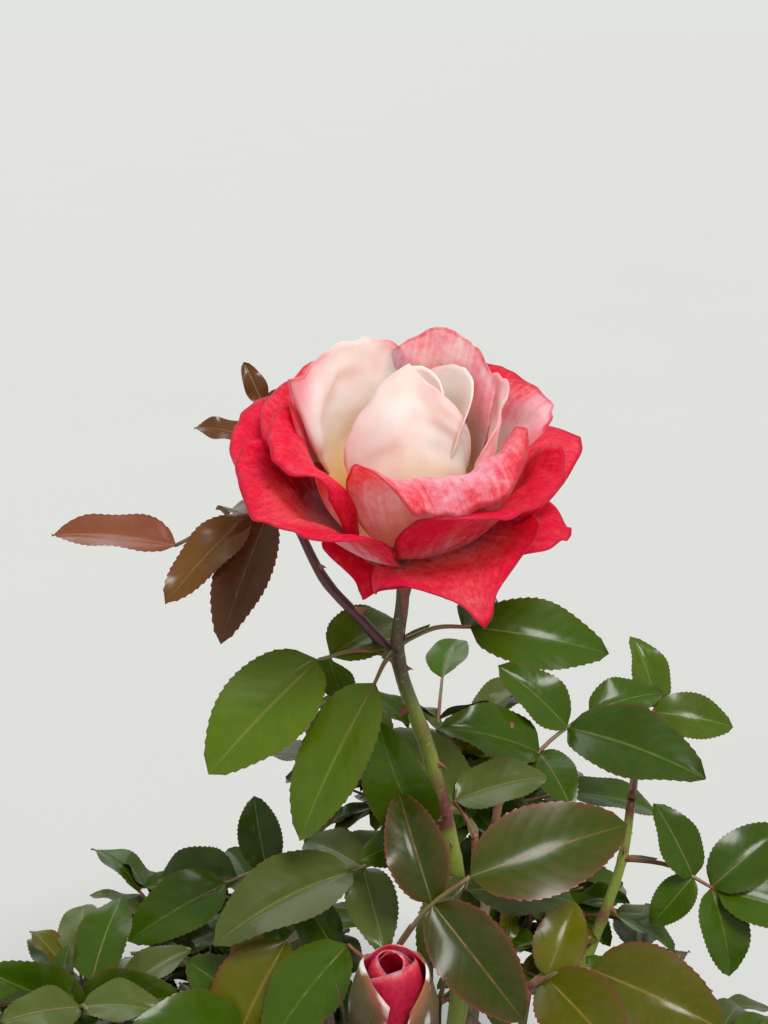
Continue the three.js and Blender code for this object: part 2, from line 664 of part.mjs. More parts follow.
function petalSolid(given, extra) {
  const petal = { ...given, length: given.length + extra, width: given.width + 2 * extra };
  const thickness = PETAL_THICKNESS + 2 * extra;
  const line = petalMidline(petal);
  const middle = [];
  for (let i = 0; i <= PETAL_ROWS; i++)
    for (let k = 0; k <= PETAL_COLUMNS; k++)
      middle.push(petalPoint(petal, line, (2 * k) / PETAL_COLUMNS - 1, i / PETAL_ROWS));
  const wide = PETAL_COLUMNS + 1;
  const faces = [];
  for (let i = 0; i < PETAL_ROWS; i++)
    for (let k = 0; k < PETAL_COLUMNS; k++) {
      const a = i * wide + k;
      faces.push(a, a + 1, a + wide + 1, a, a + wide + 1, a + wide);
    }
  const sheet = new THREE.BufferGeometry().setFromPoints(middle);
  sheet.setIndex(faces);
  sheet.computeVertexNormals();
  const normals = sheet.getAttribute("normal");
  const count = middle.length;
  const points = [];
  for (const way of [1, -1])
    middle.forEach((place, i) => {
      const normal = new THREE.Vector3().fromBufferAttribute(normals, i);
      points.push(place.clone().addScaledVector(normal, (way * thickness) / 2));
    });
  const triangles = [...faces];
  for (let i = 0; i < faces.length; i += 3)
    triangles.push(faces[i] + count, faces[i + 2] + count, faces[i + 1] + count);
  const rim = [];
  for (let k = 0; k < PETAL_COLUMNS; k++) rim.push(k);
  for (let i = 0; i < PETAL_ROWS; i++) rim.push(i * wide + PETAL_COLUMNS);
  for (let k = PETAL_COLUMNS; k > 0; k--) rim.push(PETAL_ROWS * wide + k);
  for (let i = PETAL_ROWS; i > 0; i--) rim.push(i * wide);
  rim.forEach((a, i) => {
    const b = rim[(i + 1) % rim.length];
    triangles.push(a, b + count, b, a, a + count, b + count);
  });
  return solidOf(points, triangles);
}

// From the heart outwards. Azimuth 0 is the right of the bloom, 90 its back and -90 its front.
const PETALS = {
  heart_petal_1: {
    azimuth: 200, seat: [1.6, 5.2], length: 33, width: 21, claw: 0.2, rise: [62, 92, 98],
    wrap: [110, 210, 210], skew: 1.6, finish: "creamPetal",
  },
  heart_petal_2: {
    azimuth: 320, seat: [2, 4.9], length: 38, width: 26, claw: 0.18, rise: [54, 92, 96],
    wrap: [100, 190, 180], skew: 1.8, finish: "creamPetal",
  },
  heart_petal_3: {
    azimuth: 70, seat: [2.4, 4.6], length: 50, width: 32, claw: 0.16, rise: [46, 90, 86],
    wrap: [90, 170, 150], skew: 1.8, finish: "creamPetal",
  },
  heart_petal_4: {
    azimuth: 36, seat: [2.8, 4.3], length: 52, width: 36, claw: 0.14, rise: [38, 84, 70], wrap: [80, 140, 90],
    skew: 1.8, finish: "creamPetal",
  },
  inner_petal_front: {
    azimuth: -62, seat: [3, 3.6], length: 62, width: 50, claw: 0.12, rise: [18, 104, 112], bend: 0.5,
    wrap: [90, 125, 110], skew: 0, point: 0.1, shoulder: 0.34, lean: -14, finish: "creamPetal",
  },
  inner_petal_left: {
    azimuth: 138, seat: [3, 3.6], length: 64, width: 52, rise: [22, 88, 76], wrap: [70, 110, 60], skew: 1.4,
    roll: 3, finish: "creamPetal",
  },
  inner_petal_right: {
    azimuth: 0, seat: [3, 3.6], length: 62, width: 50, rise: [20, 74, 62], wrap: [70, 110, 80], skew: 1.4,
    roll: 2, finish: "creamPetal",
  },
  inner_petal_back: {
    azimuth: 58, seat: [3, 3.6], length: 64, width: 46, rise: [20, 88, 74], wrap: [70, 100, 70], skew: 1.4,
    roll: 2, finish: "pinkPetal",
  },
  cup_petal_front: {
    azimuth: -69, seat: [4, 2.4], length: 68, width: 57, rise: [12, 90, -70], bend: 0.6, wrap: [60, 100, 60],
    skew: -0.6, finish: "pinkPetal",
  },
  cup_petal_right: {
    azimuth: 6, seat: [4, 2.4], length: 60, width: 52, rise: [12, 72, 30], bend: 0.66, wrap: [60, 90, 70],
    skew: 1.2, finish: "pinkPetal",
  },
  cup_petal_back_right: {
    azimuth: 84, seat: [4, 2.4], length: 58, width: 50, rise: [12, 82, 50], bend: 0.66, wrap: [60, 90, 70],
    skew: 1.2, finish: "pinkPetal",
  },
  cup_petal_back_left: {
    azimuth: 148, seat: [4, 2.4], length: 60, width: 48, rise: [12, 82, 50], bend: 0.66, wrap: [60, 90, 70],
    skew: 1.2, finish: "pinkPetal",
  },
  cup_petal_left: {
    azimuth: 208, seat: [4, 2.4], length: 60, width: 52, rise: [12, 82, -10], bend: 0.68, wrap: [60, 90, 60],
    skew: 1.2, finish: "crimsonPetal",
  },
  outer_petal_right: {
    azimuth: -44, seat: [4.8, 1.2], length: 61, width: 62, rise: [4, 65, 8], wrap: [50, 76, 66], skew: 1.4,
    finish: "crimsonPetal",
  },
  outer_petal_back_right: {
    azimuth: 50, seat: [4.8, 1.2], length: 59, width: 58, rise: [4, 66, 20], wrap: [50, 76, 50], skew: 1.4,
    finish: "crimsonPetal",
  },
  outer_petal_back_left: {
    azimuth: 142, seat: [4.8, 1.2], length: 58, width: 58, rise: [4, 66, 20], wrap: [50, 76, 50], skew: 1.4,
    finish: "crimsonPetal",
  },
  outer_petal_left: {
    azimuth: 217, seat: [4.8, 1.2], length: 59, width: 62, rise: [4, 57, -4], wrap: [50, 80, 50], skew: 1.4,
    finish: "crimsonPetal",
  },
  guard_petal_left: {
    azimuth: 160, seat: [5.6, 0], length: 60, width: 58, rise: [-2, 56, 20], wrap: [50, 60, 20], skew: 1.2,
    finish: "crimsonPetal",
  },
  guard_petal_front_right: {
    azimuth: -68, seat: [5.6, 0], length: 47, width: 66, claw: 0.09, taper: 0.7, rise: [-4, 24, -40],
    wrap: [40, 50, -30], skew: -0.8, point: 0.1, shoulder: 0.66, notch: 0, finish: "crimsonPetal",
  },
  guard_petal_front_left: {
    azimuth: -112, seat: [5.6, -0.6], length: 27, width: 44, claw: 0.4, taper: 0.7, rise: [-4, 14, -24],
    wrap: [40, 30, 0], skew: 1, point: 0.1, shoulder: 0.5, finish: "crimsonPetal",
  },
  guard_petal_right: {
    azimuth: -13, seat: [5.6, 0], length: 47, width: 38, taper: 0.4, rise: [-6, 26, -14], wrap: [40, 40, 0],
    skew: 1, ruffle: 1, finish: "crimsonPetal",
  },
  guard_petal_back_right: {
    azimuth: 20, seat: [5.6, 0], length: 56, width: 52, rise: [-4, 44, 6], wrap: [40, 50, 10], skew: 1.2,
    point: 0.08, shoulder: 0.35, finish: "crimsonPetal",
  },
  guard_petal_back_left: {
    azimuth: 104, seat: [5.6, 0], length: 56, width: 54, rise: [-4, 44, 10], wrap: [40, 50, 10], skew: 1.2,
    finish: "crimsonPetal",
  },
};

const bloom = new THREE.Group();
bloom.position.set(...BLOOM_SEAT);
bloom.rotation.x = degToRad(BLOOM_NOD);
part.add(bloom);

// Each petal is cut clear of those already set inside it.
const thickPetals = [];
for (const [name, given] of Object.entries(PETALS)) {
  const petal = { ...PETAL_DEFAULTS, ...given };
  let solid = petalSolid(petal, 0);
  for (const thick of thickPetals) solid = solid.subtract(thick);
  thickPetals.push(petalSolid(petal, CLEARANCE));
  addMesh(bloom, name, largestBody(solid.simplify(SLIVER)), given.finish);
}

// ---------------------------------------------------------------- hips and sepals

function latheSolid(profile, sides) {
  const turned = new THREE.LatheGeometry(profile.map(([r, z]) => new THREE.Vector2(r, z)), sides);
  const position = turned.rotateX(Math.PI / 2).getAttribute("position");
  const points = [];
  for (let i = 0; i < position.count; i++) points.push(new THREE.Vector3().fromBufferAttribute(position, i));
  return solidOf(points, Array.from(turned.index.array));
}

// A narrow leaf-like blade along a midline of [distance out, height] places; widths go with the places.
function sepalSolid(midline, widths, azimuth) {
  const points = [];
  const triangles = [];
  midline.forEach(([r, z], i) => {
    const [r0, z0] = midline[Math.max(i - 1, 0)];
    const [r1, z1] = midline[Math.min(i + 1, midline.length - 1)];
    const along = new THREE.Vector2(r1 - r0, z1 - z0).normalize();
    const half = SEPAL_THICKNESS / 2;
    const out = [r - along.y * half, z + along.x * half];
    const back = [r + along.y * half, z - along.x * half];
    for (const [face, hand] of [[out, 1], [out, -1], [back, -1], [back, 1]])
      points.push(new THREE.Vector3(face[0], (hand * widths[i]) / 2, face[1]));
  });
  for (let i = 0; i < midline.length - 1; i++)
    for (let k = 0; k < 4; k++) {
      const a = 4 * i + k;
      const b = 4 * i + ((k + 1) % 4);
      triangles.push(a, b, b + 4, a, b + 4, a + 4);
    }
  const end = 4 * (midline.length - 1);
  triangles.push(0, 2, 1, 0, 3, 2, end, end + 1, end + 2, end, end + 2, end + 3);
  const turn = new THREE.Matrix4().makeRotationZ(degToRad(azimuth));
  return solidOf(points.map((place) => place.applyMatrix4(turn)), triangles);
}

const hipTop = -PETAL_THICKNESS / 2 - CLEARANCE;
const hipProfile = [
  [0, -HIP_HEIGHT],
  [CANES.flowering_cane.tip, -HIP_HEIGHT],
  [HIP_RADIUS * 0.75, -HIP_HEIGHT * 0.7],
  [HIP_RADIUS, -HIP_HEIGHT * 0.35],
  [HIP_RADIUS * 0.85, hipTop],
  [0, hipTop],
];
const sepalMidline = [
  [HIP_RADIUS * 0.5, -2.4],
  [HIP_RADIUS * 1.5, -4],
  [HIP_RADIUS * 2, -SEPAL_LENGTH * 0.45],
  [HIP_RADIUS * 1.9, -SEPAL_LENGTH * 0.8],
  [HIP_RADIUS * 2.3, -SEPAL_LENGTH],
];
const sepalWidths = [SEPAL_WIDTH * 0.9, SEPAL_WIDTH, SEPAL_WIDTH * 0.7, SEPAL_WIDTH * 0.35, 0.8];
const sepals = [0, 1, 2, 3, 4].map((k) => sepalSolid(sepalMidline, sepalWidths, 198 + 72 * k));
let calyx = wasm.Manifold.union([latheSolid(hipProfile, 10), ...sepals]);
for (const thick of thickPetals.slice(-9)) calyx = calyx.subtract(thick);
addMesh(bloom, "calyx", largestBody(calyx), "calyx");

// ---------------------------------------------------------------- bud

const bud = new THREE.Group();
bud.position.set(...BUD_SEAT);
bud.rotation.x = degToRad(BUD_NOD);
part.add(bud);

// The rolled petals of the bud: an egg whose skin steps where one petal overlaps the next.
const BUD_OUTLINE = [
  [0, 0.3],
  [0.08, 0.55],
  [0.22, 0.86],
  [0.4, 1],
  [0.58, 0.98],
  [0.74, 0.86],
  [0.88, 0.64],
  [0.97, 0.36],
  [1, 0.1],
]; // share of the height, share of the radius
const BUD_STEP = 0.09; // depth of a step, as a share of the radius
const BUD_TWIST = 210; // degrees that the steps wind from foot to tip
const BUD_OVERLAPS = 3;
const BUD_SIDES = 15;

function budPoint(share, radiusShare, turn) {
  const wound = (turn / 360) * BUD_OVERLAPS + (share * BUD_TWIST * BUD_OVERLAPS) / 360;
  const step = 1 - BUD_STEP * (wound - Math.floor(wound));
  const out = heading(turn, 0).multiplyScalar(BUD_RADIUS * radiusShare * step);
  return out.setZ(share * BUD_HEIGHT);
}

function budSolid() {
  const points = [];
  const triangles = [];
  for (const [share, radiusShare] of BUD_OUTLINE)
    for (let k = 0; k < BUD_SIDES; k++) points.push(budPoint(share, radiusShare, (360 * k) / BUD_SIDES));
  for (let i = 0; i < BUD_OUTLINE.length - 1; i++)
    for (let k = 0; k < BUD_SIDES; k++) {
      const a = i * BUD_SIDES + k;
      const b = i * BUD_SIDES + ((k + 1) % BUD_SIDES);
      triangles.push(a, b, b + BUD_SIDES, a, b + BUD_SIDES, a + BUD_SIDES);
    }
  const foot = points.push(new THREE.Vector3(0, 0, 0)) - 1;
  const top = points.push(new THREE.Vector3(0, 0, BUD_HEIGHT + 0.6)) - 1;
  const last = (BUD_OUTLINE.length - 1) * BUD_SIDES;
  for (let k = 0; k < BUD_SIDES; k++) {
    const next = (k + 1) % BUD_SIDES;
    triangles.push(foot, next, k, top, last + k, last + next);
  }
  return solidOf(points, triangles);
}

addMesh(bud, "bud_petals", budSolid(), "crimsonPetal");

const budHipProfile = [
  [0, -9.6],
  [CANES.bud_stalk.tip, -9.6],
  [3.8, -6],
  [4.4, -2.5],
  [4, -CLEARANCE],
  [0, -CLEARANCE],
];
const budSepalMidline = [
  [2, -1.5],
  [BUD_RADIUS * 0.64, 0.4],
  [BUD_RADIUS * 1.02, BUD_HEIGHT * 0.2],
  [BUD_RADIUS * 1.12, BUD_HEIGHT * 0.45],
  [BUD_RADIUS * 1.3, BUD_HEIGHT * 0.66],
];
const budSepals = [0, 1, 2, 3, 4].map((k) => sepalSolid(budSepalMidline, sepalWidths, 22 + 72 * k));
const grownBud = budSolid().scale([1.05, 1.05, 1.02]).translate([0, 0, -CLEARANCE]);
const budCalyx = wasm.Manifold.union([latheSolid(budHipProfile, 8), ...budSepals]).subtract(grownBud);
addMesh(bud, "bud_calyx", largestBody(budCalyx), "calyx");

export default part;
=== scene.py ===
"""Garden rose bush: one two-tone bloom on a fan of canes, leafy shoots, copper young growth and an opening bud.

The file is laid out as an add-on and run as a script. Shapes are worked out in millimetres, in the frame of the
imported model: the origin is at ground level under the main stem, +Z is up and -Y is the front, to which the bloom
nods. Each piece is turned into metres as it is finished.
"""

import math
from typing import NamedTuple

import bmesh
import bpy
from mathutils import Matrix, Vector, noise


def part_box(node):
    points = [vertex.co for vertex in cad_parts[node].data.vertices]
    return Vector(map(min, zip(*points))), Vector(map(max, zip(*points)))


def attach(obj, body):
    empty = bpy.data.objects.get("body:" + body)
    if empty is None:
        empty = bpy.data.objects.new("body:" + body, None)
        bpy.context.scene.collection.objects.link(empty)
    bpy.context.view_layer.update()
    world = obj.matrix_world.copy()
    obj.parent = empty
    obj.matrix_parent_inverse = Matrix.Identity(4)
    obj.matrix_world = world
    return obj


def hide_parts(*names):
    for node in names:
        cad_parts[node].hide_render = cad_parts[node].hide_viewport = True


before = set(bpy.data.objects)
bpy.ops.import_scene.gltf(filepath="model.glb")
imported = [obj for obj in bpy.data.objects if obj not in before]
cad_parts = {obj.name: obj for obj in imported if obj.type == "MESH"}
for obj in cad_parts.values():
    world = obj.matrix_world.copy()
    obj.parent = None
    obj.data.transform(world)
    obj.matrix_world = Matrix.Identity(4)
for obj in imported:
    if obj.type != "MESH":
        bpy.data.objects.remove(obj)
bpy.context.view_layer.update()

bl_info = {
    "name": "Garden Rose Bush",
    "version": (1, 0, 0),
    "blender": (4, 5, 0),
    "location": "View3D > Sidebar > Rose Bush",
    "description": "Grows the canes, leaves, bloom and bud of a garden rose bush",
    "category": "Add Mesh",
}

MM = 0.001
WELD = 1e-3  # places closer than this, in millimetres, become one
STEM_GRID = (96, 60)  # faces round and along
CANE_COLUMNS = 28
SEPAL_GRID = (6, 24)
SEPAL_THICKNESS = 0.6
BUD_PETAL_GRID = (20, 24)
BUD_PETAL_THICKNESS = 0.4

# ---------------------------------------------------------------- limbs, in millimetres

STEM_HEIGHT = 50
STEM_LEAN = (0.03, 0.02)  # sideways for each millimetre up
STEM_PROFILE = [(13, 0), (11.2, 4), (9.3, 12), (8.5, 22), (11, 36), (9.9, 44), (4.95, STEM_HEIGHT)]
ROOTS = 5  # ridges of the root flare
ROOT_DEPTH = 0.14  # of a ridge, as a share of the radius
ROOT_REACH = 14  # height at which the ridges have died away

# Each cane: the places it runs through, and its radius at the foot and at the tip.
CANES = {
    "flowering_cane": {
        "foot": 4.4, "tip": 2.2,
        "places": [
            [2, 0, 38], [10, 3, 110], [15, 3, 175], [3.5, 0, 243], [-8, 0, 282], [-6.6, 1.5, 300],
            [-5.9, 4, 312.2],
        ],
    },
    "side_shoot": {
        "foot": 2, "tip": 1.6, "places": [[-6, 0.4, 277], [-18, 4, 291], [-31.8, 10, 304.7], [-41, 15, 322]],
    },
    "cane_right": {
        "foot": 3.8, "tip": 1.7,
        "places": [[4, 1, 36], [36, 20, 80], [62, 40, 132], [77.8, 50, 176], [81, 55, 199]],
    },
    "cane_right_back": {
        "foot": 3.6, "tip": 2, "places": [[2, 3, 38], [18, 28, 100], [26, 46, 160], [29, 51, 190]],
    },
    "cane_front": {
        "foot": 3.8, "tip": 2, "places": [[0, -4, 36], [-4, -28, 90], [-12, -38, 150], [-13, -39, 178]],
    },
    "cane_front_right": {"foot": 3.4, "tip": 1.9, "places": [[3, -3, 36], [22, -26, 90], [29, -36, 150]]},
    "cane_front_left": {"foot": 3.4, "tip": 1.9, "places": [[-2, -3, 36], [-26, -22, 90], [-40, -30, 146]]},
    "cane_left": {"foot": 3.6, "tip": 2, "places": [[-4, 0, 36], [-45, 0, 86], [-84, -4, 116], [-106, -8, 128]]},
    "cane_left_back": {"foot": 3.4, "tip": 1.9, "places": [[-3, 3, 38], [-28, 30, 96], [-44, 46, 150]]},
    "cane_back": {"foot": 3.6, "tip": 1.9, "places": [[0, 4, 38], [4, 46, 100], [6, 82, 158]]},
    "bud_stalk": {"foot": 1.9, "tip": 1.7, "places": [[-9, -35, 132], [-10, -54, 146], [-10, -65, 165.5]]},
}
CANE_SLOTS = {
    "flowering_cane": "green_cane",
    "cane_right": "green_cane",
    "bud_stalk": "green_cane",
    "side_shoot": "purple_cane",
}  # the others are brown canes

TWIG_FOOT_RADIUS = 1.7
TWIG_TIP_RADIUS = 1.2
STALK_RADIUS = 1.05
STALK_TIP_RADIUS = 0.62
RIB_RADIUS = 0.5  # of the midrib under a leaflet
RIB_TIP_RADIUS = 0.12
STALK_ARCH = 0.1  # rise of a stalk's middle, as a share of its length
CANE_STEP = 3.2  # length of one ring of faces along a cane
STALK_PAIRS = {3: [0.55], 5: [0.32, 0.68]}  # where side leaflets stand
LONG_STALK = 52  # a longer stalk carries five leaflets, a shorter one three
PAIR_SPREAD = 64  # degrees between a side leaflet and its stalk
PAIR_SIZE = 0.86  # of the end leaflet
LOWER_PAIR_SIZE = 0.72
PAIR_DROOP = 0.16
GOLDEN_ANGLE = 137.5
LEAF_ROOM = 5  # room that the leaves of the rule keep from other leaflets and from canes
FILLER_ROOM = 2.2  # the same for the small filling leaves
BLADE_WIDTH = 0.6  # of a leaflet, as a share of its length
BLADE_LANES = (-1, -0.6, -0.28, 0, 0.28, 0.6, 1)  # of faces across a leaflet
FILLER_SIZE = 0.8  # thickness of a filling leaf's stalk, as a share of a main leaf's
STIPULE_SKIN = 1  # the second material of the stalks
LIMB_PROBES = 24  # places along a cane that leaves keep clear of

PRICKLE_SEED = 7
LEAFLET_SEED = 19
FILLER_SEED = 300  # of the first mass; each mass adds one


def given_leaf(root, hub, tip, face, spray, **more):
    """A leaf with a given place: its stalk runs from root to hub and its end leaflet on to the tip. "spray" is its
    colour, or one for each leaflet; "sides" gives a share of the stalk and the tips of the two leaflets there."""
    return {"root": root, "hub": hub, "tip": tip, "face": face, "spray": spray, **more}


# Each mass of foliage: its own stem, how many leaves the rule adds, and the leaves with a given place.
MASSES = {
    # The front leaves here take the lighter green look, which partly paints in their bright highlight.
    "leaf_node_left": {
        "leaves": [
            given_leaf(
                [-8, 0, 282], [-33.7, -5, 283], [-68, -27, 254], [-0.25, -0.8, 0.55], "green", width=0.62,
                sides=[[0.86, [-8, 21, 287], [-26, 8, 262]]],
            ),
        ],
    },
    "leaf_node_front": {
        "leaves": [
            given_leaf([-9, 0, 284], [-15.4, -14, 279], [-41, -29, 231], [-0.45, -0.8, 0.35], "green", width=0.44),
        ],
    },
    "leaf_node_right": {
        "leaves": [
            given_leaf(
                [-7, 0, 287], [16, 8, 289], [62, 5, 282], [0.1, -0.7, 0.7], "deep", width=0.54,
                sides=[[0.9, [30, 42, 286], None]],
            ),
        ],
    },
    "leaf_cane_low": {
        "leaves": [
            given_leaf(
                [8, 1, 222], [0, -13, 225], [-15, -16, 265], [-0.25, -0.93, 0.2], "deep", width=0.56,
                sides=[[0.7, None, [-20, -26, 222]]],
            ),
        ],
    },
    "foliage_middle": {
        "stem": [[14, 3, 180], [18.5, 6, 196], [19, 9, 212]],
        "leaves": [
            given_leaf(
                [18.5, 6, 196], [15, -8, 200], [53, -5, 194], [0.1, -0.4, 0.92], "grey",
                sides=[[0.5, None, [0, -20, 180]]],
            ),
            given_leaf(
                [19, 8.6, 210], [12, 15, 221], [45, 22, 228], [0, -0.35, 0.93], "grey",
                sides=[[0.6, [-12, 42, 236], None]],
            ),
        ],
    },
    "copper_shoot": {
        "stem": [[-41.2, 15.1, 322.5], [-48, 19, 338], [-53, 24, 352]],
        "leaves": [
            given_leaf(
                [-43, 16, 326], [-81, 18, 314], [-123, 22, 319], [0.1, -0.4, 0.9],
                ("copper_red", "copper_olive", "copper_olive", "copper_dark"), width=0.42,
                sides=[[0.35, [-82, -8, 305], [-68, 44, 318]], [0.18, [-65, -9, 291], None]],
            ),
            given_leaf(
                [-49, 20, 341], [-57, 25, 349], [-75, 28, 352], [0, -0.6, 0.8], "copper_dark", width=0.5,
                sides=[[0.6, [-60, 42, 352], None]],
            ),
            given_leaf(
                [-53, 24, 351], [-52, 28, 359], [-58, 30, 373], [0.2, -0.9, 0.3], "copper_dark", width=0.5,
                sides=[[0.6, [-44, 38, 362], None]],
            ),
        ],
    },
    "foliage_right_upper": {
        "stem": [[29.2, 51.2, 190.5], [32, 56, 204], [36, 66, 226]], "seed": 11, "count": 1, "turn": 80, "from": 0.3,
        "leaves": [
            given_leaf(
                [31, 54, 198], [66.9, 78, 224.5], [97, 88, 229], [0, -0.5, 0.86], "deep",
                sides=[[0.48, [9, 55, 231], [56, 38, 206]], [0.78, [31.7, 80, 243.5], [106, 45, 215.3]]],
            ),
        ],
    },
    "foliage_right_tip": {
        "stem": [[81, 55.1, 199.5], [86, 74, 206], [93, 92, 212]], "seed": 23, "count": 1, "turn": 80, "from": 0.4,
        "leaves": [
            given_leaf(
                [92, 90, 211.6], [97, 100, 216], [88.5, 110, 243], [0.3, -0.7, 0.6], "green",
                sides=[[0.7, None, [128, 94, 211]]],
            ),
        ],
    },
    "leaf_right_low": {
        "leaves": [
            given_leaf(
                [78, 50, 177], [111, 36, 172], [148, 29, 164], [0.1, -0.6, 0.8], "deep",
                sides=[[0.94, [138, 50, 191], [116, 22, 144]], [0.74, [89, 47, 202], [87, 34, 158]]],
            ),
        ],
    },
    "foliage_front": {
        "stem": [[-13, -39.1, 178.5], [-12, -40, 188], [-10, -40, 197]],
        "leaves": [
            given_leaf(
                [-10, -40, 196.4], [13.9, -45, 228], [65.3, -30, 239], [-0.1, -0.75, 0.66], "bronze", width=0.54,
                sides=[[0.6, [-8, -22, 245], [31, -60, 186]]],
            ),
            given_leaf([-12.5, -39.5, 184], [-24, -38, 199], [-50, -56, 172], [-0.3, -0.6, 0.75], "deep"),
        ],
    },
    "foliage_front_right": {
        "stem": [[29, -36.1, 150.5], [32, -39, 168], [34, -40, 186]],
        "leaves": [
            given_leaf(
                [34, -40, 185], [53, -41, 192], [93, -58, 182], [0, -0.72, 0.7], "olive", width=0.66,
                sides=[[0.3, [50, -24, 206], [60, -73, 182]]],
            ),
            given_leaf([31, -38.4, 164], [56, -50, 166], [90, -68, 154], [0.2, -0.5, 0.85], "fresh", leaflets=3),
        ],
    },
    "leaf_left_mid": {
        "leaves": [
            given_leaf(
                [10, 1.6, 206], [-23, -14, 211], [-67, -38, 201], [-0.15, -0.4, 0.9], "grey", width=0.56,
                sides=[[0.9, [-41, 8, 211], [-12, -38, 196]]],
            ),
        ],
    },
    "foliage_left_back": {
        "stem": [[-44, 46.1, 150.5], [-48, 50, 162], [-51, 52, 171]], "seed": 31, "count": 1, "turn": 150, "from": 0.1,
        "leaves": [
            given_leaf(
                [-50.6, 51.8, 170], [-72, 44, 170], [-108, 29, 156], [-0.1, -0.6, 0.8], "deep",
                sides=[[0.8, [-101, 61, 162], None], [0.3, [-63, 66, 195], None]],
            ),
        ],
    },
    "foliage_left_low": {
        "stem": [[-106.4, -8.1, 128.3], [-114, -9, 138], [-119, -10, 147]],
        "seed": 41, "count": 2, "turn": 160, "from": 0.1,
        "leaves": [
            given_leaf(
                [-118.8, -10, 146.4], [-114, -6, 162], [-108, 24, 178], [-0.2, -0.75, 0.6], "deep",
                sides=[[0.35, [-148, -16, 174], [-82, -22, 168]]],
            ),
        ],
    },
    "foliage_front_left": {
        "stem": [[-40, -30.1, 146.5], [-42, -30, 160], [-40, -28, 176]],
        "seed": 53, "count": 1, "turn": 200, "from": 0.1,
        "leaves": [
            given_leaf([-40, -28.2, 175], [-44, -30, 195], [-64, -50, 160], [-0.3, -0.8, 0.5], "olive", width=0.66),
            given_leaf([-41.5, -30, 164], [-57, -46, 172], [-91, -62, 184], [-0.1, -0.6, 0.8], "deep", leaflets=3),
            given_leaf([-41, -29.5, 170], [-28, -20, 183], [-42, -2, 199], [-0.2, -0.9, 0.3], "deep"),
        ],
    },
    "foliage_back": {
        "stem": [[6, 82.2, 158.6], [8, 90, 172], [8, 96, 188]], "seed": 61, "count": 4, "turn": 20, "from": 0.05,
    },
    "foliage_back_left": {
        "stem": [[-24, 28, 92], [-42, 56, 104], [-56, 80, 118]], "seed": 71, "count": 4, "turn": 150, "from": 0.3,
    },
    "foliage_low_right": {
        "stem": [[42, 25.5, 95], [76, 12, 108], [98, 0, 122]], "seed": 83, "count": 4, "turn": -70, "from": 0.3,
    },
    "foliage_low_left": {
        "stem": [[-60, -0.8, 98.5], [-74, 26, 112], [-86, 46, 128]], "seed": 97, "count": 4, "turn": 100, "from": 0.3,
    },
    "foliage_low_front": {
        "stem": [[-4, -30, 97], [-22, -56, 108], [-34, -76, 120]], "seed": 103, "count": 4, "turn": 200, "from": 0.35,
    },
    "foliage_low_back": {
        "stem": [[4, 52, 107], [36, 72, 118], [60, 86, 134]], "seed": 113, "count": 4, "turn": 40, "from": 0.3,
    },
}
# The leaf colours of the leaves that the rule and the fillers add.
# The greyer look among them is partly a glaucous tone and partly painted sky reflection.
RULE_SPRAYS = ["deep", "grey", "deep", "deep", "grey", "olive"]

# ---------------------------------------------------------------- bloom and bud, in millimetres

BLOOM_SEAT = (-5.9, 0, 325)
BLOOM_NOD = 19  # degrees that the bloom leans to the front
HIP_HEIGHT = 12
HIP_RADIUS = 6.2
SEPAL_LENGTH = 24
SEPAL_WIDTH = 7
BUD_SEAT = (-10, -65.9, 176)
BUD_NOD = 6
BUD_RADIUS = 13.5
BUD_HEIGHT = 42
BUD_OUTLINE = [
    (0, 0.3), (0.08, 0.55), (0.22, 0.86), (0.4, 1), (0.58, 0.98), (0.74, 0.86), (0.88, 0.64), (0.97, 0.36), (1, 0.1),
]  # share of the height, share of the radius
BUD_PETALS = [
    (20, 300, 0.99, 0.62, 0), (150, 260, 0.97, 0.74, 0.4), (280, 240, 0.96, 0.84, 0.8), (60, 210, 0.95, 0.92, 1.4),
    (165, 150, 0.92, 0.98, 1.2), (340, 150, 0.9, 1.03, 1.4),
]  # from the heart outwards: turn, width and top of each, its layer and the flare of its rim



class PetalForm(NamedTuple):
    """A petal grows from its seat outwards and up. Its midline starts at the angle rise[0] above level, reaches
    rise[1] at the share "bend" of its length and ends at rise[2]; wrap bends its width round the bloom's axis.
    Left and right are as seen from outside the bloom."""

    azimuth: float  # 0 is the right of the bloom, 90 its back and -90 its front
    seat: tuple  # distance out and height
    length: float
    width: float
    rise: tuple
    wrap: tuple
    claw: float = 0.09  # width of its foot, as a share of its width
    bend: float = 0.6
    shoulder: float = 0.16  # how much shorter its sides are, as a share of its length
    point: float = 0.03  # how much longer its middle is
    taper: float = 0.1  # how much narrower its end is
    skew: float = 1.4  # how far its right side stands out, and its left side in
    roll: float = 0  # how far its side edges lean out
    lean: float = 0  # degrees that it turns round the bloom on its way up
    ruffle: float = 0  # height of the waves at its end


MIDLINE_STEPS = 24
RUFFLE_WAVES = 3

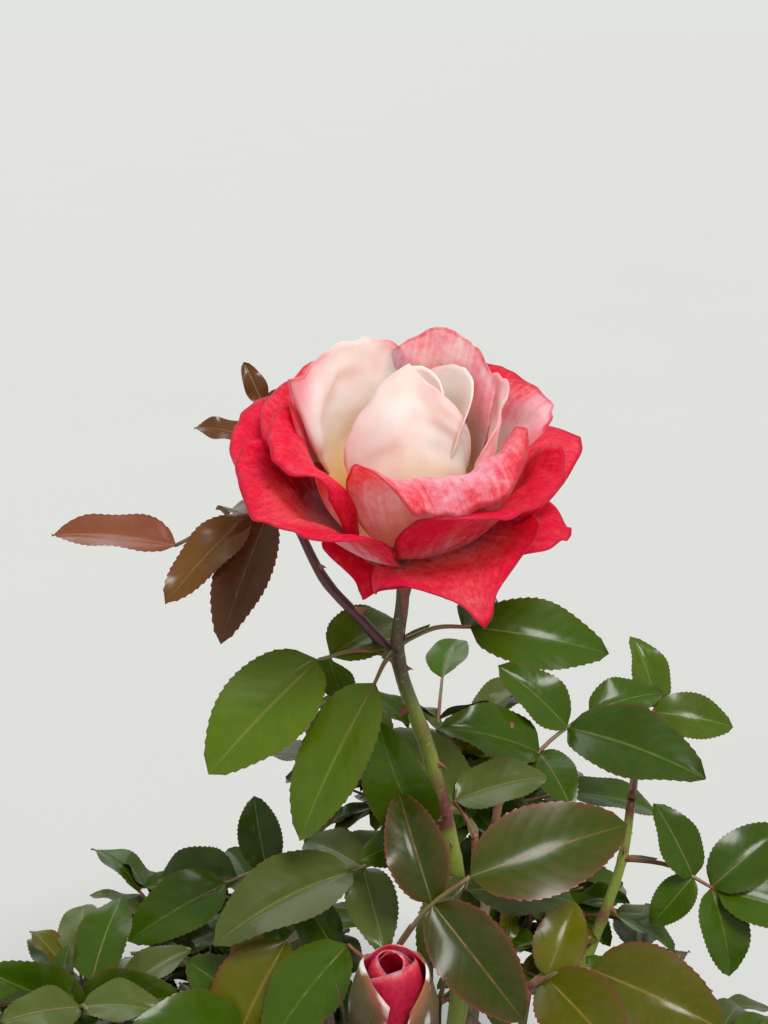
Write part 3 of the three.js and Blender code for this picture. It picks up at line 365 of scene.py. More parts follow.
# From the heart outwards.
PETALS = {
    "heart_petal_1": PetalForm(200, (1.6, 5.2), 33, 21, (62, 92, 98), (110, 210, 210), claw=0.2, skew=1.6),
    "heart_petal_2": PetalForm(320, (2, 4.9), 38, 26, (54, 92, 96), (100, 190, 180), claw=0.18, skew=1.8),
    "heart_petal_3": PetalForm(70, (2.4, 4.6), 50, 32, (46, 90, 86), (90, 170, 150), claw=0.16, skew=1.8),
    "heart_petal_4": PetalForm(36, (2.8, 4.3), 52, 36, (38, 84, 70), (80, 140, 90), claw=0.14, skew=1.8),
    "inner_petal_front": PetalForm(
        -62, (3, 3.6), 62, 50, (18, 104, 112), (90, 125, 110), claw=0.12, bend=0.5, skew=0, point=0.1, shoulder=0.34,
        lean=-14,
    ),
    "inner_petal_left": PetalForm(
        138, (3, 3.6), 64, 52, (22, 88, 76), (70, 110, 60), roll=3, shoulder=0.12, point=0.01,
    ),
    "inner_petal_right": PetalForm(8, (3, 3.6), 58, 50, (20, 78, 70), (70, 100, 60), roll=2, point=0),
    "inner_petal_back": PetalForm(58, (3, 3.6), 64, 46, (20, 88, 74), (70, 100, 70), roll=2),
    "cup_petal_front": PetalForm(-69, (4, 2.4), 68, 57, (12, 90, -70), (60, 100, 60), skew=-0.6),
    "cup_petal_right": PetalForm(6, (4, 2.4), 60, 52, (12, 72, 30), (60, 90, 70), bend=0.66, skew=1.2),
    "cup_petal_back_right": PetalForm(84, (4, 2.4), 58, 50, (12, 82, 50), (60, 90, 70), bend=0.66, skew=1.2),
    "cup_petal_back_left": PetalForm(148, (4, 2.4), 60, 48, (12, 82, 50), (60, 90, 70), bend=0.66, skew=1.2),
    "cup_petal_left": PetalForm(208, (4, 2.4), 60, 52, (12, 82, -10), (60, 90, 60), bend=0.68, skew=1.2),
    "outer_petal_right": PetalForm(-44, (4.8, 1.2), 61, 62, (4, 65, 8), (50, 76, 66), claw=0.4),
    "outer_petal_back_right": PetalForm(50, (4.8, 1.2), 59, 58, (4, 66, 20), (50, 76, 50)),
    "outer_petal_back_left": PetalForm(142, (4.8, 1.2), 58, 58, (4, 66, 20), (50, 76, 50)),
    "outer_petal_left": PetalForm(217, (4.8, 1.2), 59, 62, (4, 57, -4), (50, 80, 50), claw=0.4),
    "guard_petal_left": PetalForm(160, (5.6, 0), 60, 58, (-2, 56, 20), (50, 60, 20), skew=1.2),
    "guard_petal_front_right": PetalForm(
        -68, (5.6, 0.8), 53, 70, (10, 30, -50), (40, 50, -30), taper=0.7, skew=-0.8, point=0.1, shoulder=0.66, claw=0.4,
    ),
    "guard_petal_front_left": PetalForm(
        -112, (5.6, -0.6), 27, 44, (-4, 14, -24), (40, 30, 0), taper=0.7, skew=1, point=0.1, shoulder=0.5, claw=0.4,
    ),
    "guard_petal_right": PetalForm(-13, (5.6, 0), 47, 38, (-6, 26, -14), (40, 40, 0), taper=0.4, skew=1, ruffle=1),
    "guard_petal_back_right": PetalForm(
        20, (5.6, 0), 56, 52, (-4, 44, 6), (40, 50, 10), skew=1.2, point=0.08, shoulder=0.35,
    ),
    "guard_petal_back_left": PetalForm(104, (5.6, 0), 56, 54, (-4, 44, 10), (40, 50, 10), skew=1.2),
}


class PetalLook(NamedTuple):
    """How a petal is coloured and creased. Left and right are as seen from outside the bloom."""

    cream_to: float  # share of the way up it where the flush starts
    red_at: float  # share of the way up it where the flush reaches its cap
    most: float = 1  # that cap: 0 cream, 0.35 pale pink, 0.65 pink, 1 crimson
    side: float = 0.3  # flush added towards its side edges
    base: float = 0  # flush at its foot
    crumple: float = 1  # how uneven it is
    tilt: float = 0  # how much longer its right side is, and its left side shorter, as a share of its length
    roll_left: tuple = (1, 0)  # share of the half width where that edge starts to roll back, and the roll's radius
    roll_right: tuple = (1, 0)


PETAL_LOOKS = {
    "heart_petal_1": PetalLook(0.8, 1.3, 0.2, side=0.1),
    "heart_petal_2": PetalLook(0.8, 1.3, 0.2, side=0.1),
    "heart_petal_3": PetalLook(0.75, 1.3, 0.25, side=0.1),
    "heart_petal_4": PetalLook(0.7, 1.2, 0.3, side=0.15),
    "inner_petal_front": PetalLook(0.55, 1.15, 0.34, side=0.1, base=0.02, crumple=4.4, tilt=-0.06),
    "inner_petal_left": PetalLook(0.78, 1.1, 0.55, side=0.15, crumple=3.2, tilt=0.05, roll_right=(0.72, 6)),
    "inner_petal_right": PetalLook(0.4, 1.1, 0.4, side=0.2, crumple=4),
    "inner_petal_back": PetalLook(0.2, 1.1, 0.52, side=0.2, crumple=2.4),
    "cup_petal_front": PetalLook(0.4, 1.15, 0.74, base=0.36, crumple=3.6),
    "cup_petal_right": PetalLook(0.5, 1.15, 0.76, side=0.35, crumple=2),
    "cup_petal_back_right": PetalLook(0.3, 0.95, 0.75),
    "cup_petal_back_left": PetalLook(0.3, 0.95, 0.75),
    "cup_petal_left": PetalLook(0.25, 1.0, 0.98, side=0.45, base=0.35, crumple=1.8, roll_right=(0.6, 5)),
    "outer_petal_right": PetalLook(0.3, 1.05, 1, side=0.5, base=0.58, crumple=2.4),
    "outer_petal_back_right": PetalLook(0.15, 0.75, 1, base=0.3),
    "outer_petal_back_left": PetalLook(0.15, 0.8, 0.95, base=0.3),
    "outer_petal_left": PetalLook(0.35, 1.1, 1, side=0.45, base=0.52, crumple=3),
    "guard_petal_left": PetalLook(0.3, 0.9, 1, base=0.5, crumple=1.5),
    "guard_petal_front_right": PetalLook(0.3, 1.15, 1, side=0.6, base=0.66, crumple=2, tilt=0.12, roll_left=(0.55, 5)),
    "guard_petal_front_left": PetalLook(0.2, 0.8, 1, base=0.8, crumple=1.5),
    "guard_petal_right": PetalLook(0.1, 0.6, 1, base=0.5),
    "guard_petal_back_right": PetalLook(0.1, 0.7, 1, base=0.35, crumple=1.5),
    "guard_petal_back_left": PetalLook(0.1, 0.7, 1, base=0.35),
}
PETAL_SLOTS = {"heart": "cream_petal", "inner": "cream_petal", "cup": "pink_petal"}  # the rest are crimson
PETAL_SLOT_EXCEPTIONS = {"inner_petal_back": "pink_petal", "cup_petal_left": "crimson_petal"}

# ---------------------------------------------------------------- numbers, curves and surfaces


def lerp(a, b, share):
    return a + (b - a) * share


def clamp(value, low, high):
    return min(max(value, low), high)


def smoothstep(value, low, high):
    share = clamp((value - low) / (high - low), 0, 1)
    return share * share * (3 - 2 * share)


def seeded(seed):
    """A row of numbers that is the same on every run."""
    state = seed

    def draw(low, high):
        nonlocal state
        state = (state * 1664525 + 1013904223) % 4294967296
        return low + (high - low) * (state / 4294967296)

    return draw


def heading(azimuth, rise):
    """The unit vector with a compass heading (0 is +X, 90 is +Y) and a rise above level, in degrees."""
    a, e = math.radians(azimuth), math.radians(rise)
    return Vector((math.cos(a) * math.cos(e), math.sin(a) * math.cos(e), math.sin(e)))


class SmoothCurve:
    """A centripetal spline through its places, read by the share of its length."""

    ARC_STEPS = 200

    def __init__(self, places):
        self.places = [Vector(place) for place in places]
        self.spans = [self.span(i) for i in range(len(self.places) - 1)]
        self.lengths = [0.0]
        last = self.at(0)
        for i in range(1, self.ARC_STEPS + 1):
            place = self.at(i / self.ARC_STEPS)
            self.lengths.append(self.lengths[-1] + (place - last).length)
            last = place

    def span(self, i):
        places, last = self.places, len(self.places) - 1
        p1, p2 = places[i], places[i + 1]
        p0 = places[i - 1] if i > 0 else 2 * p1 - p2
        p3 = places[i + 2] if i + 2 <= last else 2 * p2 - p1
        d0, d1, d2 = [max((b - a).length, 1e-8) ** 0.5 for a, b in ((p0, p1), (p1, p2), (p2, p3))]
        t1 = ((p1 - p0) / d0 - (p2 - p0) / (d0 + d1) + (p2 - p1) / d1) * d1
        t2 = ((p2 - p1) / d1 - (p3 - p1) / (d1 + d2) + (p3 - p2) / d2) * d1
        return p1, t1, 3 * (p2 - p1) - 2 * t1 - t2, 2 * (p1 - p2) + t1 + t2

    def at(self, t):
        place = t * len(self.spans)
        i = min(int(place), len(self.spans) - 1)
        w = place - i
        c0, c1, c2, c3 = self.spans[i]
        return c0 + w * (c1 + w * (c2 + w * c3))

    @property
    def length(self):
        return self.lengths[-1]

    def time_of(self, share):
        target = clamp(share, 0, 1) * self.length
        low, high = 0, self.ARC_STEPS
        while high - low > 1:
            middle = (low + high) // 2
            if self.lengths[middle] <= target:
                low = middle
            else:
                high = middle
        gap = self.lengths[high] - self.lengths[low]
        return (low + (target - self.lengths[low]) / gap if gap else low) / self.ARC_STEPS

    def point(self, share):
        return self.at(self.time_of(share))

    def tangent(self, share):
        t = self.time_of(share)
        return (self.at(min(t + 1e-4, 1)) - self.at(max(t - 1e-4, 0))).normalized()

    def frames(self, steps):
        """For each step along it: the centre, the way on, and two directions across that turn as little as they can."""
        made = []
        across = None
        for i in range(steps + 1):
            way = self.tangent(i / steps)
            across = way.orthogonal() if across is None else across - across.dot(way) * way
            across.normalize()
            made.append((self.point(i / steps), way, across.copy(), way.cross(across)))
        return made


def shaped_grid(columns, rows, shape, flush=None, closed=False):
    """A grid laid over a surface: shape(u, v) gives its places, with u across and v along, both from 0 to 1.
    A closed grid is joined to itself across and filled at both ends."""
    bm = bmesh.new()
    bm.loops.layers.uv.new("UVMap")
    layer = bm.verts.layers.float.new("flush") if flush else None
    bmesh.ops.create_grid(bm, x_segments=columns, y_segments=rows, size=0.5, calc_uvs=True)
    for vert in bm.verts:
        u, v = vert.co.x + 0.5, vert.co.y + 0.5
        vert.co = shape(u, v)
        if layer:
            vert[layer] = flush(u, v)
    if closed:
        bmesh.ops.remove_doubles(bm, verts=bm.verts, dist=WELD)
        bmesh.ops.holes_fill(bm, edges=bm.edges, sides=0)
    return bm


def tube_shape(curve, steps, radius_at):
    """The shape of a limb for shaped_grid: radius_at(turn, share) may differ all round."""
    frames = curve.frames(steps)

    def shape(u, v):
        centre, _, across, other = frames[round(v * steps)]
        turn = u * 2 * math.pi
        return centre + (math.cos(turn) * across + math.sin(turn) * other) * radius_at(u, v)

    return shape


def rough(place, size, seed=0.0):
    """Smooth noise from -1 to 1 that changes over about this many millimetres."""
    return noise.noise(Vector(place) / size + Vector((seed, seed * 1.7, seed * 2.3)))


# ---------------------------------------------------------------- finishing a piece


def finish_piece(name, bm, slot, nodes, materials):
    """Turns a bmesh in millimetres into a piece in metres that rides with the plant."""
    bmesh.ops.scale(bm, vec=(MM, MM, MM), verts=bm.verts)
    mesh = bpy.data.meshes.new(name)
    bm.to_mesh(mesh)
    bm.free()
    return place_mesh(name, mesh, slot, nodes, materials)


def place_mesh(name, mesh, slot, nodes, materials):
    mesh.shade_smooth()
    for material in materials:
        mesh.materials.append(material)
    piece = bpy.data.objects.new(name, mesh)
    bpy.context.scene.collection.objects.link(piece)
    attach(piece, "root")
    if nodes:
        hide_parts(*nodes)
    return piece


class Sheaf:
    """Many small things gathered into one joined mesh."""

    def __init__(self):
        self.places, self.faces, self.uvs, self.finishes, self.tints = [], [], [], [], []

    def add(self, places, faces, uvs, finish=0, tint=0.5):
        """Adds one small thing: uvs gives a place on the pattern for each of its places."""
        start = len(self.places)
        self.places += places
        self.uvs += uvs
        self.tints += [tint] * len(places)
        self.faces += [[start + i for i in face] for face in faces]
        self.finishes += [finish] * len(faces)

    def add_tube(self, curve, radius_at, sides, steps):
        """A thin limb, closed at both ends: its radius is radius_at(share)."""
        places, uvs, faces = [], [], []
        for i, (centre, _, across, other) in enumerate(curve.frames(steps)):
            radius = radius_at(i / steps)
            for k in range(sides):
                turn = 2 * math.pi * k / sides
                places.append(centre + (math.cos(turn) * across + math.sin(turn) * other) * radius)
                uvs.append((k / sides, i / steps))
        for i in range(steps):
            for k in range(sides):
                a, b = i * sides + k, i * sides + (k + 1) % sides
                faces.append((a, b, b + sides, a + sides))
        faces.append(tuple(range(sides - 1, -1, -1)))
        faces.append(tuple(steps * sides + k for k in range(sides)))
        self.add(places, faces, uvs)

    def piece(self, name, slot, nodes, materials):
        mesh = bpy.data.meshes.new(name)
        mesh.from_pydata([tuple(place * MM) for place in self.places], [], self.faces)
        layer = mesh.uv_layers.new(name="UVMap")
        for loop in mesh.loops:
            layer.data[loop.index].uv = self.uvs[loop.vertex_index]
        tint = mesh.attributes.new("tint", "FLOAT", "POINT")
        tint.data.foreach_set("value", self.tints)
        mesh.polygons.foreach_set("material_index", self.finishes)
        mesh.update()
        return place_mesh(name, mesh, slot, nodes, materials)


# ---------------------------------------------------------------- main stem and canes


def stem_radius(height):
    for (r0, h0), (r1, h1) in zip(STEM_PROFILE, STEM_PROFILE[1:]):
        if height <= h1:
            return lerp(r0, r1, smoothstep(height, h0, h1))
    return STEM_PROFILE[-1][0]


def stem_bmesh(relief):
    """The main stem, from its flared foot to its knobbly crown, with fissured bark."""

    def shape(u, v):
        height = v * STEM_HEIGHT
        flare = 1 + ROOT_DEPTH * max(0, 1 - height / ROOT_REACH) * math.cos(2 * math.pi * u * ROOTS)
        way = heading(360 * u, 0)
        wander = way * 9 + Vector((0, 0, height * 0.3))
        fissure = abs(rough(wander, 2.2, 3.0)) * 2 - 0.6
        knob = rough(way * 8 + Vector((0, 0, height)), 9, 7.0) * smoothstep(height, 24, 36)
        radius = stem_radius(height) * flare + relief * fissure - relief + 0.9 * knob
        place = way * radius
        return place + Vector((STEM_LEAN[0] * height, STEM_LEAN[1] * height, height))

    return shaped_grid(*STEM_GRID, shape, closed=True)


def cane_bmesh(name, settings):
    """One cane: round and smooth towards its tip, swollen at its nodes, with bark relief near the ground."""
    cane = CANES[name]
    curve = SmoothCurve(cane["places"])
    steps = max(16, round(curve.length / CANE_STEP))
    heights = [curve.point(i / steps).z for i in range(steps + 1)]
    seed = len(name) + cane["foot"]

    def radius_at(u, v):
        z = heights[round(v * steps)]
        barky = smoothstep(z, 150, 50)
        phase = (v * curve.length / (settings.node_spacing / MM)) % 1
        node = math.exp(-(((phase - 0.5) / 0.07) ** 2))
        turn = 2 * math.pi * u
        way = Vector((math.cos(turn), math.sin(turn), 0)) * 4
        grain = abs(rough(way + Vector((0, 0, v * curve.length * 0.16)), 1.6, seed)) - 0.25
        wobble = rough(way * 0.4 + Vector((0, 0, v * curve.length)), 14, seed)
        radius = lerp(cane["foot"], cane["tip"], v) * (1 + 0.05 * wobble)
        return radius - 0.12 + 0.28 * node + (settings.bark_relief / MM) * grain * barky

    return shaped_grid(CANE_COLUMNS, steps, tube_shape(curve, steps, radius_at), closed=True), curve


PRICKLE_RINGS = [(0, 1, 0), (0.35, 0.5, -0.06), (0.72, 0.22, -0.22), (1, 0.02, -0.5)]  # out, width, hook
PRICKLE_SIDES = 6


def add_prickle(sheaf, foot, out, way, size):
    """One prickle: an oval cone on the cane, hooked towards the ground."""
    side = way.cross(out).normalized()
    places, uvs, faces = [], [], []
    for reach, width, hook in PRICKLE_RINGS:
        for k in range(PRICKLE_SIDES):
            turn = 2 * math.pi * k / PRICKLE_SIDES
            place = foot + out * (reach * size - 0.4) + way * (hook * size)
            place += (way * math.cos(turn) * 0.62 + side * math.sin(turn) * 0.26) * size * width
            places.append(place)
            uvs.append((k / PRICKLE_SIDES, reach))
    for i in range(len(PRICKLE_RINGS) - 1):
        for k in range(PRICKLE_SIDES):
            a, b = i * PRICKLE_SIDES + k, i * PRICKLE_SIDES + (k + 1) % PRICKLE_SIDES
            faces.append((a, a + PRICKLE_SIDES, b + PRICKLE_SIDES, b))
    sheaf.add(places, faces, uvs)


# ---------------------------------------------------------------- leaves


class Leaf:
    """A compound leaf: an arched stalk from root to hub, an end leaflet, and pairs on the way."""

    def __init__(self, root, hub, tip, face, width=BLADE_WIDTH, sides=(), leaflets=1, spray="deep", size=1):
        self.root, self.hub, self.tip = Vector(root), Vector(hub), Vector(tip)
        self.face = Vector(face).normalized()
        self.width = width
        self.spray = spray
        self.size = size
        middle = self.root.lerp(self.hub, 0.5)
        middle.z += (self.hub - self.root).length * STALK_ARCH
        self.stalk = SmoothCurve([self.root, middle, self.hub])
        self.blades = [(self.hub, self.tip)]
        for share, *tips in sides:
            base = self.stalk.point(share)
            self.blades += [(base, Vector(tip)) for tip in tips if tip]
        pairs = STALK_PAIRS.get(leaflets, [])
        for i, share in enumerate(pairs):
            base, along = self.stalk.point(share), self.stalk.tangent(share)
            normal = (self.face - self.face.dot(along) * along).normalized()
            reach = (self.tip - self.hub).length * (PAIR_SIZE if i == len(pairs) - 1 else LOWER_PAIR_SIZE)
            for hand in (1, -1):
                way = Matrix.Rotation(math.radians(hand * PAIR_SPREAD), 3, normal) @ along
                way.z -= PAIR_DROOP
                self.blades.append((base, base + way.normalized() * reach))

    def probes(self, blade):
        """Points that stand for a blade when room is measured."""
        base, tip = blade
        along = tip - base
        half = along.length * self.width / 2
        side = along.cross(self.face).normalized()
        shares = ((0.3, 0), (0.6, 0), (0.95, 0), (0.3, 0.7), (0.3, -0.7), (0.65, 0.7), (0.65, -0.7))
        return [base + share * along + side * (across * half) for share, across in shares]


def rule_leaves(shoot):
    """The leaves of a shoot by the rule: each a golden angle on from the last, the lower ones longer."""
    draw = seeded(shoot["seed"])
    curve = SmoothCurve(shoot["stem"])
    leaves = []
    for k in range(shoot["count"]):
        share = lerp(shoot["from"], 0.97, k / (shoot["count"] - 1) if shoot["count"] > 1 else 1)
        root = curve.point(share)
        azimuth = shoot["turn"] + k * GOLDEN_ANGLE + draw(-14, 14)
        rise = lerp(12, 46, share) + draw(-8, 8)
        reach = lerp(60, 42, share) * draw(0.9, 1.12)
        blade = lerp(38, 33, share) * draw(0.9, 1.1)
        hub = root + heading(azimuth, rise) * reach
        tip = hub + heading(azimuth + draw(-12, 12), rise - 30) * blade
        face = heading(azimuth + draw(-40, 40), 62 + draw(-12, 12))
        leaflets = 5 if reach > LONG_STALK else 3
        leaves.append(Leaf(root, hub, tip, face, leaflets=leaflets, spray=RULE_SPRAYS[k % len(RULE_SPRAYS)]))
    return leaves


def filler_leaves(shoot, seed, count):
    """Smaller leaves that fill a shoot between its main ones."""
    draw = seeded(seed)
    curve = SmoothCurve(shoot)
    leaves = []
    for k in range(count):
        share = draw(0.1, 0.98)
        root = curve.point(share)
        azimuth = k * GOLDEN_ANGLE + draw(-30, 30)
        rise = draw(-5, 60)
        reach = draw(16, 44)
        blade = draw(19, 34)
        hub = root + heading(azimuth, rise) * reach
        tip = hub + heading(azimuth + draw(-15, 15), rise - 30) * blade
        face = heading(azimuth + draw(-40, 40), 62 + draw(-15, 15))
        spray = RULE_SPRAYS[int(draw(0, len(RULE_SPRAYS) - 0.01))]
        leaves.append(Leaf(root, hub, tip, face, leaflets=3, spray=spray, size=FILLER_SIZE))
    return leaves


def grow_foliage(fillers):
    """All the leaves of each mass, set in the order of the solids: given ones, rule ones, then the fillers."""
    taken = []
    limbs = []
    for cane in CANES.values():
        curve = SmoothCurve(cane["places"])
        limbs += [curve.point(i / LIMB_PROBES) for i in range(LIMB_PROBES + 1)]

    def take(leaf):
        for blade in leaf.blades:
            taken.extend((leaf, place) for place in leaf.probes(blade))

    def clear(probes, leaf, room):
        near = room * room
        for owner, place in taken:
            if owner is not leaf and any((probe - place).length_squared < near for probe in probes):
                return False
        return not any((probe - place).length_squared < near for place in limbs for probe in probes)

    def settle(leaf, room):
        leaf.blades = [blade for blade in leaf.blades if clear(leaf.probes(blade), leaf, room)]
        stalk = [leaf.stalk.point(share) for share in (0.4, 0.6, 0.8, 1)]
        return len(leaf.blades) >= 2 and clear(stalk, None, room)

    grown = {}
    for name, mass in MASSES.items():
        grown[name] = [Leaf(**leaf) for leaf in mass.get("leaves", [])]
        for leaf in grown[name]:
            take(leaf)
    for name, mass in MASSES.items():
        for leaf in rule_leaves(mass) if mass.get("count") else []:
            if settle(leaf, LEAF_ROOM):
                take(leaf)
                grown[name].append(leaf)
    for number, (name, mass) in enumerate(MASSES.items()):
        if mass.get("count", 0) < 2:
            continue
        low, high = [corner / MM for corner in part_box(name)]
        for leaf in filler_leaves(mass["stem"], FILLER_SEED + number, fillers):
            probes = [place for blade in leaf.blades for place in leaf.probes(blade)]
            inside = all(low[i] <= place[i] <= high[i] for place in probes for i in range(3))
            if inside and settle(leaf, FILLER_ROOM):
                take(leaf)
                grown[name].append(leaf)
    return grown


def blade_outline(share):
    """Half the width of a leaflet at a share of its length, as a share of its greatest half width."""
    return math.sin(math.pi * share**0.84) ** 0.64 * (1 - 0.1 * share)


def add_blade(sheaf, leaf, blade, settings, finish, draw):
    """A leaflet with a saw-toothed rim, folded at its midrib, arched along it and rippled at its sides."""
    base, tip = blade
    along = tip - base
    length = along.length
    along.normalize()
    normal = (leaf.face - leaf.face.dot(along) * along).normalized()
    side = along.cross(normal)
    half = length * leaf.width / 2
    arch, curl, phase = draw(0.02, 0.07), draw(0.03, 0.1), draw(0, 6.3)
    fold = settings.fold * draw(0.6, 1.25)
    ripple = settings.ripple / MM * draw(0.5, 1.3)
    tint = draw(0, 1)
    rows = settings.teeth

    def place(share, across, tooth=0.0):
        width = half * blade_outline(clamp(share, 0, 1))
        x = across * (width + tooth)
        lift = fold * half * (1.25 * abs(across) - 0.35 * across**2) * min(1, width / half * 1.4)
        lift += arch * length * math.sin(math.pi * share) - curl * length * share**3
        lift += ripple * across**2 * math.sin(share * 11 + phase + (2 if across > 0 else 0))
        return base + along * (share * length) + side * x + normal * lift

    places, uvs, faces = [], [], []
    for i in range(rows + 1):
        share = i / rows
        for across in BLADE_LANES:
            places.append(place(share, across))
            uvs.append((0.5 + across / 2, share))
    wide = len(BLADE_LANES)
    for i in range(rows):
        for k in range(wide - 1):
            a = i * wide + k
            faces.append((a, a + 1, a + wide + 1, a + wide))
    for i in range(1, rows - 1):
        share = (i + 0.78) / rows
        for across, lane in ((-1, 0), (1, wide - 1)):
            places.append(place(share, across, min(settings.tooth_depth / MM, 0.014 * length)))
            uvs.append((0.5 + across / 2, share))
            a, b, c = i * wide + lane, (i + 1) * wide + lane, len(places) - 1
            faces.append((a, b, c) if across < 0 else (a, c, b))
    sheaf.add(places, faces, uvs, finish, tint)
    return [place(share, 0) - normal * (0.35 * (1 - share)) for share in (0, 0.2, 0.45, 0.7, 0.95)]


def twig_radius(share):
    return lerp(TWIG_FOOT_RADIUS, TWIG_TIP_RADIUS, share)


def add_stipules(sheaf, leaf):
    """The pair of narrow wings that clasp the foot of a stalk."""
    reach = min(12, leaf.stalk.length * 0.4)
    way = leaf.stalk.tangent(0.1)
    side = way.cross(Vector((0, 0, 1))).normalized()
    up = side.cross(way)
    for hand in (-1, 1):
        places, uvs = [], []
        for i in range(5):
            share = i / 4
            foot = leaf.stalk.point(share * reach / leaf.stalk.length)
            wing = (0.6 + 1.5 * math.sin(math.pi * min(1, share * 1.1))) * (1 - 0.4 * share)
            tip = foot + side * (hand * (0.7 + wing)) + up * (0.6 + 0.5 * share) + way * (share * 1.5)
            places += [foot + side * (hand * 0.5), tip]
            uvs += [(0.5, share), (0.95, share)]
        faces = [(2 * i, 2 * i + 2, 2 * i + 3, 2 * i + 1) for i in range(4)]
        sheaf.add(places, faces if hand > 0 else [face[::-1] for face in faces], uvs, STIPULE_SKIN)


# ---------------------------------------------------------------- petals, sepals and bud


def bloom_frame(seat, nod):
    return Matrix.Translation(Vector(seat)) @ Matrix.Rotation(math.radians(nod), 4, "X")


def petal_midline(petal):
    line = [(*petal.seat, math.radians(petal.rise[0]))]
    step = petal.length / MIDLINE_STEPS
    rise, bend = petal.rise, petal.bend
    for i in range(MIDLINE_STEPS):
        share = (i + 0.5) / MIDLINE_STEPS
        if share < bend:
            degrees = lerp(rise[0], rise[1], smoothstep(share / bend, 0, 1))
        else:
            degrees = lerp(rise[1], rise[2], ((share - bend) / (1 - bend)) ** 1.4)
        angle = math.radians(degrees)
        r, h, _ = line[-1]
        line.append((r + step * math.cos(angle), h + step * math.sin(angle), angle))
    return line


def petal_surface(name, settings):
    """The middle surface of a petal as shape(u, v) in the plant's frame, and its flush as flush(u, v)."""
    petal, look = PETALS[name], PETAL_LOOKS[name]
    line = petal_midline(petal)
    bend, wrap_at = petal.bend, petal.wrap
    seed = float(sum(map(ord, name)) % 97)
    stand = bloom_frame(BLOOM_SEAT, BLOOM_NOD)

    def shape(column, v):
        u = 2 * column - 1
        side = abs(u)
        uneven = 0.012 * look.crumple * rough((u * 4, 0, 0), 1, seed) * v
        reach = 1 - petal.shoulder * side**2.5 + petal.point * (1 - side) ** 2 + uneven + look.tilt * u
        share = clamp(v * reach, 0, 1.25)
        place = min(share, 1) * MIDLINE_STEPS
        i = min(int(place), MIDLINE_STEPS - 1)
        r, h, angle = [lerp(a, b, place - i) for a, b in zip(line[i], line[i + 1])]
        past = max(0, share - 1) * petal.length
        r, h = r + past * math.cos(angle), h + past * math.sin(angle)
        claw = petal.claw
        spread = claw + (1 - claw) * math.sin(min(1, share / 0.72) * math.pi / 2) ** 0.9
        half = petal.width / 2 * spread * (1 - petal.taper * smoothstep(share, 0.6, 1))
        if share < bend:
            wrap = lerp(wrap_at[0], wrap_at[1], smoothstep(share / bend, 0, 1))
        else:
            wrap = lerp(wrap_at[1], wrap_at[2], (share - bend) / (1 - bend))
        wrap = math.radians(wrap)
        rolled = 0
        start, roll_radius = look.roll_left if u < 0 else look.roll_right
        if roll_radius and side > start:
            turned = (side - start) * half / roll_radius * smoothstep(v, 0.4, 0.7)
            rolled = roll_radius * (1 - math.cos(turned))
            u = math.copysign(start + roll_radius * math.sin(turned) / half, u) if turned else u
        if abs(wrap) < 0.02:
            across, lifted = u * half, 0
        else:
            radius = half / (wrap / 2)
            across, lifted = radius * math.sin(u * wrap / 2), radius * (1 - math.cos(u * wrap / 2))
        lifted -= rolled
        edge = max(0, (side - 0.55) / 0.45)
        crumple = look.crumple * settings.crumple / MM * smoothstep(v, 0.25, 0.9)
        inwards = (
            lifted
            - petal.roll * edge**2 * share
            - petal.skew * u * min(1, share * 7)
            + petal.ruffle * math.sin(RUFFLE_WAVES * math.pi * u) * share**3
            + crumple * rough((across, 0, v * petal.length), 13, seed)
            + 0.3 * crumple * rough((across, 9, v * petal.length), 5, seed)
        )
        local = Vector((r - inwards * math.sin(angle), across, h + inwards * math.cos(angle)))
        turn = math.radians(petal.azimuth + petal.lean * share)
        return stand @ (Matrix.Rotation(turn, 3, "Z") @ local)

    def flush(column, v):
        u = 2 * column - 1
        patch = 0.1 * rough((u * 22, 0, v * 40), 9, seed + 5)
        reach = v + look.side * u * u * v + patch
        risen = smoothstep(reach, look.cream_to, look.red_at)
        return lerp(look.base * smoothstep(v, 0, 0.3), look.most, risen)

    return shape, flush


def petal_slot(name):
    return PETAL_SLOT_EXCEPTIONS.get(name) or PETAL_SLOTS.get(name.split("_")[0], "crimson_petal")


def lathe_bmesh(profile, turns, ribs=0, rib_depth=0.0):
    """A turned form from [radius, height] places, foot first, with shallow ribs if asked for."""
    bm = bmesh.new()
    bm.loops.layers.uv.new("UVMap")
    verts = [bm.verts.new((radius, 0, height)) for radius, height in profile]
    edges = [bm.edges.new(pair) for pair in zip(verts, verts[1:])]
    bmesh.ops.spin(
        bm, geom=verts + edges, cent=(0, 0, 0), axis=(0, 0, 1), dvec=(0, 0, 0),
        angle=2 * math.pi, steps=turns, use_merge=True, use_duplicate=False,
    )
    bmesh.ops.remove_doubles(bm, verts=bm.verts, dist=WELD)
    for vert in bm.verts:
        turn = math.atan2(vert.co.y, vert.co.x)
        grow = 1 + rib_depth * math.cos(turn * ribs)
        vert.co.x *= grow
        vert.co.y *= grow
    bmesh.ops.recalc_face_normals(bm, faces=bm.faces)
    return bm


